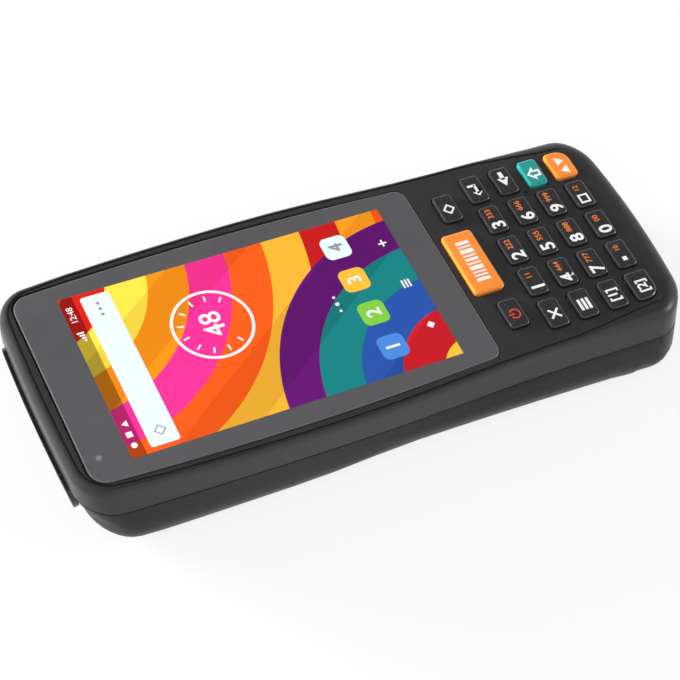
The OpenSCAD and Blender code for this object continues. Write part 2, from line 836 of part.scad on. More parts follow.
module card_socket()
{
    card_w = battery_w / 3.2;
    card_l = battery_len / 3.1;
    color([0.65, 0.65, 0.66]) translate([0, bay_y + battery_len / 9, card_z]) difference()
    {
        slab(card_w, card_l, card_t, 0.3);
        translate([1.5 - card_w / 2, -card_l / 2 - over, 0.3]) cube([card_w - 3, card_l - 2, card_t - 0.6]);
    }
}

// place and size of the microphone, between four keys
mic_x = 1.5 * pitch_x + 0.5;
mic_y = last_row_y + 1.5 * pitch_y;
mic_size = [2.7, 3.6, 1];

module microphone()
{
    color([0.75, 0.75, 0.7]) translate([mic_x, mic_y, board_top_z]) difference()
    {
        slab(mic_size.x, mic_size.y, mic_size.z, 0.2);
        translate([0, 0, mic_size.z / 2]) cylinder(r = 0.4, h = over);
    }
}

module keypad_board()
{
    color([0.05, 0.25, 0.3]) translate([0, 0, keyboard_z]) linear_extrude(keyboard_t) difference()
    {
        board_shape(pocket_bottom_y, keypad_top_y);
        translate([mic_x, mic_y]) square([mic_size.x + 2 * clear, mic_size.y + 2 * clear], center = true);
    }
}

module keypad_domes()
{
    color([0.8, 0.8, 0.8]) for (k = KEY_PLACES)
        translate([k.x, k.y, keyboard_top_z]) cylinder(r = 2.2, h = dome_t);
}

module keypad_mat()
{
    color([0.25, 0.25, 0.26]) translate([0, 0, keyboard_top_z])
        linear_extrude(flange_top_z - keyboard_top_z) difference()
        {
            board_shape(pocket_bottom_y, keypad_top_y);
            for (k = KEY_PLACES)
                translate([k.x, k.y]) round_rect(k[2] + 0.2, k[3] + 2 * key_flange + clear, 0.6);
            translate([mic_x, mic_y]) circle(0.6);
        }
}

// ---------- scanner end ----------
bezel_w = body_w - 2 * bezel_side;
bezel_crown_r = 30 * 30 / (2 * top_crown);
window_w = bezel_w - 2 * bezel_frame;
window_h = bezel_h - 4;
window_r = 2;
pane_in = 1;
pane_t = 1;
pane_lap = 0.8;
engine_w = 24;
engine_l = 15;
bracket_t = 0.8;
bracket_h = 8;
ear_w = 2;
engine_y = pocket_top_y - end_step - clear - engine_l / 2;
duct_z = [parting_z - bezel_h + 2.8, parting_z - 1.9];

// frame of the bezel: origin at the middle of its upper edge, tilted back with its face
module at_bezel()
{
    translate([0, end_y, parting_z]) rotate([-bezel_lean, 0, 0]) children();
}

// rounded block round the bezel's middle, between two depths behind its face
module bezel_block(w, h, r, from, to)
{
    at_bezel() translate([0, -from, -bezel_h / 2]) rotate([90, 0, 0]) slab(w, h, to - from, r);
}

module scan_bezel()
{
    color([0.05, 0.05, 0.05]) difference()
    {
        intersection()
        {
            bezel_block(bezel_w, bezel_h, bezel_r, -3, bezel_t);
            at_bezel() translate([0, -bezel_crown_r, -2 * bezel_h])
                cylinder(r = bezel_crown_r, h = 3 * bezel_h, $fn = 720);
            translate([-body_w, 0, 0]) cube([2 * body_w, overall_len, parting_z - seam]);
        }
        bezel_block(window_w, window_h, window_r, -4, pane_in + over);
        bezel_block(window_w + 2 * pane_lap + 0.2, window_h + 2 * pane_lap + 0.2, window_r, pane_in, 9);
    }
}

module scan_window()
{
    color([0.3, 0.02, 0.04])
        bezel_block(window_w + 2 * pane_lap, window_h + 2 * pane_lap, window_r, pane_in, pane_in + pane_t);
}

module scan_engine()
{
    engine_z = floor_z + bracket_t;
    eye_z = (duct_z[0] + duct_z[1]) / 2 - engine_z;
    color([0.12, 0.12, 0.13]) translate([0, engine_y, engine_z]) difference()
    {
        slab(engine_w, engine_l, board_z - clear - engine_z, 1);
        // imager and illumination openings in the front face
        translate([-5, engine_l / 2 + over, eye_z]) rotate([90, 0, 0]) cylinder(r = 2.6, h = 3);
        translate([5, engine_l / 2 + over, eye_z]) rotate([90, 0, 0]) cylinder(r = 1.8, h = 3);
    }
}

module engine_bracket()
{
    color([0.55, 0.55, 0.57]) translate([0, engine_y - 0.6, floor_z]) difference()
    {
        union()
        {
            slab(engine_w + 2 * ear_w, engine_l + 1.2, bracket_t, 1);
            translate([-engine_w / 2, -engine_l / 2 - 0.6, 0]) cube([engine_w, bracket_t, bracket_h]);
        }
        both_sides() translate([(engine_w + ear_w) / 2, 0, -over]) cylinder(r = ear_w / 4, h = 3);
    }
}

// ---------- back: camera and loudspeaker ----------
camera_x = -14;
camera_y = well_y + 4;
ring_w = 1.4;
window_up = 0.3;
flash_y = well_y - 6;
flash_r = 1.8;
speaker_x = 14;
speaker_y = well_y + 2;
speaker_size = [18, 15, 4.6];
speaker_frame = 2;
cone_depth = 0.8;
slot_size = [12, 1.1];
slot_pitch = 2.4;
camera_size = [9.6, 9.6, 5];
camera_hole_r = 3;
barrel_gap = 1.1;

module speaker()
{
    color([0.15, 0.15, 0.15]) translate([speaker_x, speaker_y, well_floor_z]) difference()
    {
        slab(speaker_size.x, speaker_size.y, speaker_size.z, 1.5);
        translate([0, 0, speaker_size.z - cone_depth])
            slab(speaker_size.x - 2 * speaker_frame, speaker_size.y - 2 * speaker_frame, over, 1);
    }
}

module rear_camera()
{
    color([0.1, 0.1, 0.11]) translate([camera_x, camera_y, 0])
    {
        translate([0, 0, well_floor_z]) slab(camera_size.x, camera_size.y, camera_size.z, 0.8);
        translate([0, 0, window_up + barrel_gap])
            cylinder(r = camera_hole_r - 0.2, h = well_floor_z - window_up - barrel_gap + slice);
    }
}

module camera_ring()
{
    color([0.6, 0.6, 0.62]) translate([camera_x, camera_y, 0.15]) difference()
    {
        cylinder(r = camera_r + ring_w, h = 0.85);
        translate([0, 0, -over]) cylinder(r = camera_r + fit, h = 3);
    }
}

module camera_window()
{
    color([0.05, 0.05, 0.08]) translate([camera_x, camera_y, window_up]) cylinder(r = camera_r, h = 0.9);
}

module flash_window()
{
    color([0.9, 0.9, 0.85]) translate([camera_x, flash_y, window_up]) cylinder(r = flash_r, h = 1.1);
}

// ---------- keypad end: port ----------
port_w = 8.9;
port_h = 3.2;
port_len = 7.4;
port_board_t = 0.8;
port_board_z = port_z - port_h / 2 - port_board_t;
port_front_y = bottom_end(0.6) + 2.8;
end_pocket_l = 15;
end_pocket_half = SCREWS[2].x - boss_r - 0.5;
end_pocket_y = pocket_bottom_y + end_pocket_l / 2;
flap_in_y = bottom_end(low_share(port_z)) + 0.05 + flap_t;
flap_z = port_z - flap_h / 2;
flap_r = flap_t / 2;
flap_axis_y = flap_in_y - flap_r;
flap_axis_z = flap_z + flap_r;
motor_r = 5;
motor_h = 2.7;
rib_w = 1.5;
rib_x = end_pocket_half - 2 * motor_r - 2 * clear - rib_w;
port_board_w = 2 * (rib_x + rib_w);

module usb_flap()
{
    color([0.1, 0.1, 0.1])
    {
        translate([-flap_w / 2, flap_axis_y, flap_axis_z]) rotate([0, 90, 0])
            cylinder(r = flap_r, h = flap_w);
        translate([0, flap_in_y, flap_axis_z]) rotate([90, 0, 0]) linear_extrude(flap_t)
        {
            translate([-flap_w / 2, 0]) square([flap_w, flap_h - flap_r - 1]);
            translate([0, flap_h - flap_r - 1.5]) round_rect(flap_w, 3, 1.4);
        }
        // plug that closes the port
        translate([0, flap_in_y + 0.8, port_z]) rotate([90, 0, 0]) slab(6.6, 1.5, 1, 0.7);
    }
}

module usb_socket()
{
    color([0.7, 0.7, 0.72]) translate([0, port_front_y + port_len, port_z]) rotate([90, 0, 0]) difference()
    {
        slab(port_w, port_h, port_len, port_h / 2 - slice);
        translate([0, 0, 1.2]) slab(port_w - 0.6, port_h - 0.6, port_len, port_h / 2 - 0.32);
    }
}

module usb_board()
{
    color([0.05, 0.3, 0.2]) translate([0, end_pocket_y, port_board_z])
        slab(port_board_w, end_pocket_l - 2 * clear, port_board_t, 0.5);
}

module vibration_motor()
{
    motor_x = clear + motor_r - end_pocket_half;
    color([0.68, 0.68, 0.7]) translate([motor_x, end_pocket_y, end_floor_z]) difference()
    {
        cylinder(r = motor_r, h = motor_h);
        translate([0, 0, motor_h - 0.4]) cylinder(r = motor_r - 1.2, h = over);
    }
}

// ---------- the part ----------
front_housing();
rear_housing();
housing_seal();
battery_cover();
cover_screws();
housing_screws();
threaded_inserts();
touch_glass();
glass_adhesive();
display_module();
mid_frame();
main_board();
board_shields();
card_socket();
microphone();
keypad_board();
keypad_domes();
keypad_mat();
scan_bezel();
scan_window();
scan_engine();
engine_bracket();
battery_pack();
battery_contacts();
speaker();
rear_camera();
camera_ring();
camera_window();
flash_window();
usb_socket();
usb_board();
usb_flap();
vibration_motor();
for (i = [0:len(KEY_NAMES) - 1])
    color(key_colour(KEY_NAMES[i])) key(KEY_PLACES[i]);
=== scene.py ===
"""Looks of the hand-held data terminal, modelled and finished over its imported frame."""
from __future__ import annotations

import json
import logging
import math
from dataclasses import dataclass
from enum import Enum
from typing import Callable, Iterable

import bpy
from mathutils import Matrix, Vector

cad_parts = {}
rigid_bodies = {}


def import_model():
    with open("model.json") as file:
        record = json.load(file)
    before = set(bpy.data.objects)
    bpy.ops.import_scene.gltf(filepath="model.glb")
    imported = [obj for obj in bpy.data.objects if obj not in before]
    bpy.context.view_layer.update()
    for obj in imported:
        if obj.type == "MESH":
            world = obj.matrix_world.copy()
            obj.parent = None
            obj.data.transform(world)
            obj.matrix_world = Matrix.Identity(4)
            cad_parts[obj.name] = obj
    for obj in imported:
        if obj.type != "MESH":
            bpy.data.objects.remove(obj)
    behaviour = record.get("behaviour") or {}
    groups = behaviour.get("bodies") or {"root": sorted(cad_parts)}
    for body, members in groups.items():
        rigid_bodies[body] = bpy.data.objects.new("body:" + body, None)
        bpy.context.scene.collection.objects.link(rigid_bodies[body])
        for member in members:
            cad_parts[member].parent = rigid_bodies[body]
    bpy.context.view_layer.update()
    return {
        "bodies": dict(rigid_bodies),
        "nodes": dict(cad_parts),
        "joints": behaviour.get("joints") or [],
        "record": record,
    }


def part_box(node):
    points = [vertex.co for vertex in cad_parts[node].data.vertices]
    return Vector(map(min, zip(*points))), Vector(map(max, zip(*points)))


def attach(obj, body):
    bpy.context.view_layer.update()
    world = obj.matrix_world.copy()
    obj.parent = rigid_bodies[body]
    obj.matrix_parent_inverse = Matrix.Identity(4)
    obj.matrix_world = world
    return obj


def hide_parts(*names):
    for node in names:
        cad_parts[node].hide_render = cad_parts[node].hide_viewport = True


LOG = logging.getLogger("terminal")
MM = 0.001
TOUCH = 1e-6  # points that lie closer than this, in metres, are at the same place
ROOT_BODY, COVER_BODY, FLAP_BODY = "terminal", "cover", "usb_flap"
FRAME: dict = {}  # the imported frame, which main() fills

Colour = tuple[float, float, float]
Tones = tuple[tuple[float, float], ...]
PointTest = Callable[[Vector], bool]
EdgeTest = Callable[[Vector, Vector], bool]
FaceTest = Callable[[bpy.types.MeshPolygon], bool]


# ---------------------------------------------------------------- node trees
class Graph:
    """Node tree of one material, with its shader and its object coordinates."""

    NOISE_LOW, NOISE_HIGH = 0.3, 0.7  # nearly all values of a noise lie between these

    def __init__(self, name: str) -> None:
        """Start an empty material round a Principled shader.

        Args:
            name: Name of the material.
        """
        self.material = bpy.data.materials.new(name)
        self.material.use_nodes = True
        self.tree = self.material.node_tree
        self.shader = self.tree.nodes["Principled BSDF"]
        self.place = self.tree.nodes.new("ShaderNodeTexCoord").outputs["Object"]

    def add(self, kind: str, inputs: dict[str | int, object] | None = None,
            **settings: object) -> bpy.types.Node:
        """Add a node and fill its inputs.

        Args:
            kind: Blender's node type.
            inputs: A number, a colour or an output socket for each named input.
            settings: Plain properties of the node.

        Returns:
            The new node.
        """
        node = self.tree.nodes.new(kind)
        for name, value in settings.items():
            setattr(node, name, value)
        for name, value in (inputs or {}).items():
            self.feed(node.inputs[name], value)
        return node

    def feed(self, socket: bpy.types.NodeSocket, value: object) -> None:
        """Give a socket its value.

        Args:
            socket: Input to fill.
            value: A constant to keep there, or an output to link to it.
        """
        if isinstance(value, bpy.types.NodeSocket):
            self.tree.links.new(value, socket)
        else:
            socket.default_value = value

    def set(self, **values: object) -> None:
        """Fill the shader's inputs, written with _ for a space."""
        for name, value in values.items():
            self.feed(self.shader.inputs[name.replace("_", " ")], value)

    def compute(self, operation: str, *values: object) -> bpy.types.NodeSocket:
        """Add a math node and return its value."""
        node = self.add("ShaderNodeMath", dict(enumerate(values)), operation=operation)
        return node.outputs["Value"]

    def noise(self, size: float, detail: float = 2.0,
              place: bpy.types.NodeSocket | None = None) -> bpy.types.NodeSocket:
        """Add noise with features of a real size.

        Args:
            size: Size of a feature in metres.
            detail: Number of finer layers.
            place: Coordinates that it follows, the object's own if not given.

        Returns:
            The noise's value.
        """
        inputs = {"Vector": self.place if place is None else place, "Scale": 1 / size, "Detail": detail}
        return self.add("ShaderNodeTexNoise", inputs).outputs["Fac"]

    def spread(self, noise: bpy.types.NodeSocket, low: float, high: float) -> bpy.types.NodeSocket:
        """Stretch a noise to a range.

        Args:
            noise: Value of the noise.
            low: Result for its low values.
            high: Result for its high values.

        Returns:
            The stretched value.
        """
        inputs = {"Value": noise, "From Min": self.NOISE_LOW, "From Max": self.NOISE_HIGH,
                  "To Min": low, "To Max": high}
        return self.add("ShaderNodeMapRange", inputs).outputs["Result"]

    def ramp(self, fac: bpy.types.NodeSocket, stops: Iterable[tuple[float, Colour]],
             stepped: bool = False) -> bpy.types.NodeSocket:
        """Add a colour ramp.

        Args:
            fac: Value that runs along the ramp.
            stops: Place and colour of each stop.
            stepped: Whether the colours change at once.

        Returns:
            The ramp's colour.
        """
        node = self.add("ShaderNodeValToRGB", {"Fac": fac})
        node.color_ramp.interpolation = "CONSTANT" if stepped else "LINEAR"
        elements = node.color_ramp.elements
        stops = list(stops)
        while len(elements) < len(stops):
            elements.new(1.0)
        for element, (place, colour) in zip(elements, stops):
            element.position = place
            element.color = (*colour, 1.0)
        return node.outputs["Color"]

    def mottle(self, fac: bpy.types.NodeSocket, colour: Colour, tones: Tones) -> bpy.types.NodeSocket:
        """Vary a colour along a value; each tone has its place and how many times as light it is."""
        return self.ramp(fac, [(place, shade(colour, by)) for place, by in tones])

    def bump(self, height: bpy.types.NodeSocket, depth: float, strength: float) -> bpy.types.NodeSocket:
        """Turn a height into a normal, from the relief's depth in metres and the share of it that shows."""
        node = self.add("ShaderNodeBump", {"Height": height, "Distance": depth, "Strength": strength})
        return node.outputs["Normal"]

    def dimmed(self, inside: bpy.types.NodeSocket, tone: float) -> bpy.types.NodeSocket:
        """Return a tone where a value is 1, and 1 where the value is 0."""
        return self.compute("SUBTRACT", 1.0, self.compute("MULTIPLY", inside, 1 - tone))


def shade(colour: Colour, by: float) -> Colour:
    """Return a colour made lighter or darker by a factor."""
    return tuple(min(1.0, part * by) for part in colour)


def grey(level: float) -> Colour:
    """Return a plain grey."""
    return (level, level, level)


# ---------------------------------------------------------------- finishes
@dataclass(frozen=True)
class Moulded:
    """Moulded plastic or rubber with a fine spark-eroded grain."""

    name: str
    colour: Colour
    roughness: float = 0.5
    grain: float = 0.22 * MM
    relief: float = 0.012 * MM
    coat: float = 0.0
    gloss: float = 0.5
    translucency: float = 0.0

    CLOUD = 9 * MM                          # size of the faint clouds in the colour
    TONES = ((0.25, 0.94), (0.75, 1.06))
    LAYERS = 3
    PLAY = 0.05                             # how far the roughness strays to each side
    COAT_ROUGHNESS = 0.05
    RELIEF_SHARE = 0.6
    DEPTHS = (1.5 * MM, 0.5 * MM, 0.2 * MM) # how deep red, green and blue light gets

    def material(self) -> bpy.types.Material:
        """Make the material.

        Returns:
            Plastic whose grain is in its gloss and its relief.
        """
        graph = Graph(self.name)
        grain = graph.noise(self.grain, self.LAYERS)
        graph.set(
            Base_Color=graph.mottle(graph.noise(self.CLOUD, self.LAYERS), self.colour, self.TONES),
            Roughness=graph.spread(grain, self.roughness - self.PLAY, self.roughness + self.PLAY),
            Specular_IOR_Level=self.gloss,
            Coat_Weight=self.coat,
            Coat_Roughness=self.COAT_ROUGHNESS,
            Subsurface_Weight=self.translucency,
            Subsurface_Radius=self.DEPTHS,
            Subsurface_Scale=1.0,
            Normal=graph.bump(grain, self.relief, self.RELIEF_SHARE),
        )
        return graph.material


@dataclass(frozen=True)
class Metal:
    """Sheet or turned metal with fine streaks."""

    name: str
    colour: Colour
    roughness: float = 0.3

    STREAK = 1.5 * MM                       # length of a streak
    DRAWN = (1.0, 14.0, 1.0)                # how many times finer it is along each axis
    LAYERS = 4
    TONES = ((0.3, 0.88), (0.7, 1.08))
    PLAY = 0.07
    RELIEF = 0.01 * MM
    RELIEF_SHARE = 0.3

    def material(self) -> bpy.types.Material:
        """Make the material.

        Returns:
            Metal whose streaks are in its colour, its gloss and its relief.
        """
        graph = Graph(self.name)
        drawn = graph.add("ShaderNodeMapping", {"Vector": graph.place, "Scale": self.DRAWN})
        streaks = graph.noise(self.STREAK, self.LAYERS, drawn.outputs["Vector"])
        graph.set(
            Base_Color=graph.mottle(streaks, self.colour, self.TONES),
            Metallic=1.0,
            Roughness=graph.spread(streaks, self.roughness - self.PLAY, self.roughness + self.PLAY),
            Normal=graph.bump(streaks, self.RELIEF, self.RELIEF_SHARE),
        )
        return graph.material


@dataclass(frozen=True)
class Pane:
    """Glossy glass or clear plastic over a printed or dark ground."""

    name: str
    colour: Colour
    roughness: float = 0.05
    depth_tint: Colour | None = None

    SMUDGE = 14 * MM                        # size of the faint smudges
    LAYERS = 4
    PLAY = 0.03                             # how much rougher a smudge is
    REFRACTION = 1.5
    POLISH = 0.6
    POLISH_ROUGHNESS = 0.03

    def material(self) -> bpy.types.Material:
        """Make the material.

        Returns:
            A glossy pane with faint smudges.
        """
        graph = Graph(self.name)
        smudge = graph.noise(self.SMUDGE, self.LAYERS)
        stops = ((graph.NOISE_LOW, self.colour), (graph.NOISE_HIGH, self.depth_tint or self.colour))
        graph.set(
            Base_Color=graph.ramp(smudge, stops),
            Roughness=graph.spread(smudge, self.roughness, self.roughness + self.PLAY),
            IOR=self.REFRACTION,
            Coat_Weight=self.POLISH,
            Coat_Roughness=self.POLISH_ROUGHNESS,
        )
        return graph.material


@dataclass(frozen=True)
class Ink:
    """Printed legend with slightly uneven cover."""

    name: str
    colour: Colour

    PATCH = 0.5 * MM                        # size of a thinner patch
    TONES = ((0.25, 0.93), (0.6, 1.0))
    ROUGHNESS = (0.32, 0.42)
    LACQUER = 0.3

    def material(self) -> bpy.types.Material:
        """Make the material.

        Returns:
            Ink under a thin lacquer.
        """
        graph = Graph(self.name)
        cover = graph.noise(self.PATCH)
        graph.set(
            Base_Color=graph.mottle(cover, self.colour, self.TONES),
            Roughness=graph.spread(cover, *self.ROUGHNESS),
            Coat_Weight=self.LACQUER,
        )
        return graph.material


@dataclass(frozen=True)
class Board:
    """Circuit board lacquer with copper tracks under it."""

    name: str
    lacquer: Colour
    track: Colour

    MESH = 2.2 * MM                         # distance between two tracks
    TRACK_EDGE = (0.07, 0.1)                # where a track ends and the bare board begins
    PATCH = 0.6 * MM
    ROUGHNESS = (0.3, 0.42)
    GLAZE = 0.4
    RELIEF = 0.02 * MM
    RELIEF_SHARE = 0.4

    def material(self) -> bpy.types.Material:
        """Make the material.

        Returns:
            Lacquer with square tracks.
        """
        graph = Graph(self.name)
        cells = graph.add("ShaderNodeTexVoronoi", {"Vector": graph.place, "Scale": 1 / self.MESH},
                          feature="DISTANCE_TO_EDGE", distance="MANHATTAN")
        tracks = cells.outputs["Distance"]
        end, start = self.TRACK_EDGE
        graph.set(
            Base_Color=graph.ramp(tracks, [(0.0, self.track), (end, self.track), (start, self.lacquer)]),
            Roughness=graph.spread(graph.noise(self.PATCH), *self.ROUGHNESS),
            Coat_Weight=self.GLAZE,
            Normal=graph.bump(tracks, self.RELIEF, self.RELIEF_SHARE),
        )
        return graph.material


@dataclass(frozen=True)
class LitPicture:
    """Background picture of the display: broad arcs round two corners, crossed by slanting bands."""

    name: str
    first_centre: Vector
    second_centre: Vector
    second_reach: float
    strip_from: float
    pitch: float = 10.5 * MM
    band: float = 31 * MM
    band_tone: float = 0.8
    strip_tone: float = 0.42

    FIRST = (
        (0.9, 0.1, 0.008), (0.66, 0.012, 0.006), (0.96, 0.7, 0.06), (0.91, 0.27, 0.006), (0.92, 0.03, 0.28),
        (0.9, 0.1, 0.008), (0.86, 0.42, 0.03), (0.5, 0.01, 0.01), (0.93, 0.3, 0.01),
    )
    SECOND = (
        (0.94, 0.62, 0.05), (0.62, 0.012, 0.02), (0.02, 0.08, 0.36), (0.008, 0.2, 0.2), (0.12, 0.006, 0.16),
        (0.9, 0.12, 0.01),
    )
    SLANT = (0.82, 0.57, 0)                 # direction across the slanting bands
    BAND_SHARE = 0.42                       # share of each band that is darker
    SMUDGE = 16 * MM
    LAYERS = 3
    ROUGHNESS = (0.08, 0.12)
    GLOSS = 0.3
    GLOW = 0.08

    def away(self, graph: Graph, centre: Vector) -> bpy.types.NodeSocket:
        """Return the distance from a centre."""
        node = graph.add("ShaderNodeVectorMath", {0: graph.place, 1: centre}, operation="DISTANCE")
        return node.outputs["Value"]

    def arcs(self, graph: Graph, distance: bpy.types.NodeSocket,
             colours: tuple[Colour, ...]) -> bpy.types.NodeSocket:
        """Colour rings round one centre.

        Args:
            graph: Node tree that takes the rings.
            distance: Distance from their centre.
            colours: Colours from the inside out.

        Returns:
            The rings' colour.
        """
        turn = graph.compute("FRACT", graph.compute("DIVIDE", distance, self.pitch * len(colours)))
        stops = [(index / len(colours), colour) for index, colour in enumerate(colours)]
        return graph.ramp(turn, stops, stepped=True)

    def tone(self, graph: Graph) -> bpy.types.NodeSocket:
        """Darken a part of every slanting band, and the status strip.

        Args:
            graph: Node tree that takes the tone.

        Returns:
            How many times as light the picture is.
        """
        slant = graph.add("ShaderNodeVectorMath", {0: graph.place, 1: self.SLANT}, operation="DOT_PRODUCT")
        along = graph.compute("FRACT", graph.compute("DIVIDE", slant.outputs["Value"], self.band))
        band = graph.dimmed(graph.compute("LESS_THAN", along, self.BAND_SHARE), self.band_tone)
        place = graph.add("ShaderNodeSeparateXYZ", {"Vector": graph.place}).outputs["Y"]
        strip = graph.dimmed(graph.compute("GREATER_THAN", place, self.strip_from), self.strip_tone)
        return graph.compute("MULTIPLY", band, strip)

    def material(self) -> bpy.types.Material:
        """Make the material.

        Returns:
            The picture, faintly lit from behind.
        """
        graph = Graph(self.name)
        first, second = self.away(graph, self.first_centre), self.away(graph, self.second_centre)
        inside = graph.compute("LESS_THAN", second, self.second_reach)
        rings = graph.add("ShaderNodeMix", {"Factor": inside, "A": self.arcs(graph, first, self.FIRST),
                                            "B": self.arcs(graph, second, self.SECOND)}, data_type="RGBA")
        toned = graph.add("ShaderNodeVectorMath", {0: rings.outputs["Result"], "Scale": self.tone(graph)},
                          operation="SCALE").outputs["Vector"]
        graph.set(
            Base_Color=toned,
            Roughness=graph.spread(graph.noise(self.SMUDGE, self.LAYERS), *self.ROUGHNESS),
            Specular_IOR_Level=self.GLOSS,
            Emission_Color=toned,
            Emission_Strength=self.GLOW,
        )
        return graph.material


class Finish(Enum):
    """Every finish of the terminal."""

    FRONT_SHELL = Moulded("front_shell_plastic", (0.028, 0.0275, 0.0285), 0.34, gloss=0.3)
    REAR_SHELL = Moulded("rear_shell_plastic", (0.0135, 0.0135, 0.0145), 0.42, gloss=0.22)
    SEAL = Moulded("seal_rubber", (0.018, 0.018, 0.018), 0.7, 0.4 * MM)
    FOAM = Moulded("adhesive_foam", (0.03, 0.03, 0.03), 0.85, 0.3 * MM, 0.05 * MM)
    SILICONE = Moulded("keypad_silicone", (0.06, 0.06, 0.065), 0.62, 0.5 * MM)
    FLAP = Moulded("flap_rubber", (0.02, 0.02, 0.022), 0.66, 0.35 * MM)
    BEZEL = Moulded("bezel_plastic", (0.008, 0.008, 0.009), 0.22, 0.5 * MM, 0.004 * MM, 0.4)
    ENGINE = Moulded("engine_plastic", (0.02, 0.02, 0.02), 0.55)
    BATTERY = Moulded("battery_case", (0.03, 0.03, 0.036), 0.42, 0.6 * MM)
    DARK_KEY = Moulded("dark_key_plastic", (0.021, 0.021, 0.023), 0.25, 1.2 * MM, 0.0008 * MM, 0.7)
    ORANGE_KEY = Moulded("orange_key_plastic", (0.97, 0.27, 0.035), 0.2, 1.2 * MM, 0.0008 * MM, 0.8, 0.5, 0.1)
    TEAL_KEY = Moulded("teal_key_plastic", (0.018, 0.3, 0.275), 0.2, 1.2 * MM, 0.0008 * MM, 0.8, 0.5, 0.1)
    STEEL = Metal("screw_steel", (0.33, 0.33, 0.35), 0.34)
    BRASS = Metal("insert_brass", (0.72, 0.5, 0.24), 0.3)
    ALUMINIUM = Metal("frame_aluminium", (0.7, 0.7, 0.72), 0.38)
    SHEET = Metal("shield_sheet", (0.6, 0.6, 0.6), 0.3)
    DOME = Metal("dome_steel", (0.78, 0.78, 0.78), 0.16)
    CONTACT = Metal("contact_gold", (0.8, 0.58, 0.26), 0.22)
    RING = Metal("camera_ring_metal", (0.16, 0.16, 0.17), 0.3)
    BORDER = Pane("glass_border", (0.084, 0.083, 0.088), 0.06, (0.092, 0.09, 0.096))
    # lighter colour for the glass's chamfer: a painted highlight
    GROUND_EDGE = Pane("glass_chamfer_painted_highlight", (0.12, 0.12, 0.13), 0.2, (0.15, 0.15, 0.16))
    STACK = Pane("display_stack", (0.05, 0.06, 0.07), 0.1)
    SCAN_PANE = Pane("scan_window_red", (0.085, 0.002, 0.004), 0.04, (0.06, 0.0015, 0.003))
    CAMERA_PANE = Pane("camera_glass", (0.006, 0.006, 0.012), 0.03, (0.01, 0.008, 0.02))
    FLASH_PANE = Pane("flash_lens", (0.82, 0.76, 0.55), 0.25, (0.9, 0.86, 0.7))
    SENSOR = Pane("sensor_spot", (0.2, 0.2, 0.21), 0.1)
    MAIN_BOARD = Board("board_green", (0.015, 0.13, 0.06), (0.05, 0.3, 0.12))
    KEY_BOARD = Board("board_blue", (0.01, 0.08, 0.12), (0.5, 0.36, 0.14))
    WHITE_INK = Ink("white_ink", (0.86, 0.86, 0.86))
    ORANGE_INK = Ink("orange_ink", (0.86, 0.2, 0.03))
    RED_INK = Ink("red_ink", (0.7, 0.05, 0.04))
    GREY_INK = Ink("grey_ink", (0.28, 0.3, 0.33))
    PALE_TILE = Ink("tile_white", (0.8, 0.92, 0.97))
    BLUE_TILE = Ink("tile_blue", (0.06, 0.25, 0.72))
    GREEN_TILE = Ink("tile_green", (0.22, 0.6, 0.05))
    SUN_TILE = Ink("tile_yellow", (0.93, 0.52, 0.03))

    @property
    def material(self) -> bpy.types.Material:
        """Material of this finish, made once."""
        return bpy.data.materials.get(self.value.name) or self.value.material()


SLOT_FINISH = {
    "front_plastic": Finish.FRONT_SHELL, "rear_plastic": Finish.REAR_SHELL, "seal_rubber": Finish.SEAL,
    "screw_steel": Finish.STEEL, "insert_brass": Finish.BRASS, "touch_glass": Finish.BORDER,
    "adhesive_foam": Finish.FOAM, "display_stack": Finish.STACK, "frame_metal": Finish.ALUMINIUM,
    "circuit_board": Finish.MAIN_BOARD, "sheet_metal": Finish.SHEET, "dome_metal": Finish.DOME,
    "silicone": Finish.SILICONE, "bezel_plastic": Finish.BEZEL, "window_red": Finish.SCAN_PANE,
    "engine_plastic": Finish.ENGINE, "battery_case": Finish.BATTERY, "contact_metal": Finish.CONTACT,
    "ring_metal": Finish.RING, "camera_glass": Finish.CAMERA_PANE, "flash_lens": Finish.FLASH_PANE,
    "flap_rubber": Finish.FLAP, "dark_key": Finish.DARK_KEY, "orange_key": Finish.ORANGE_KEY,
    "teal_key": Finish.TEAL_KEY,
}


# ---------------------------------------------------------------- modelling bench
def both(test: PointTest) -> EdgeTest:
    """Make a test of a point into one of an edge, which both its ends have to pass."""
    return lambda start, end: test(start) and test(end)


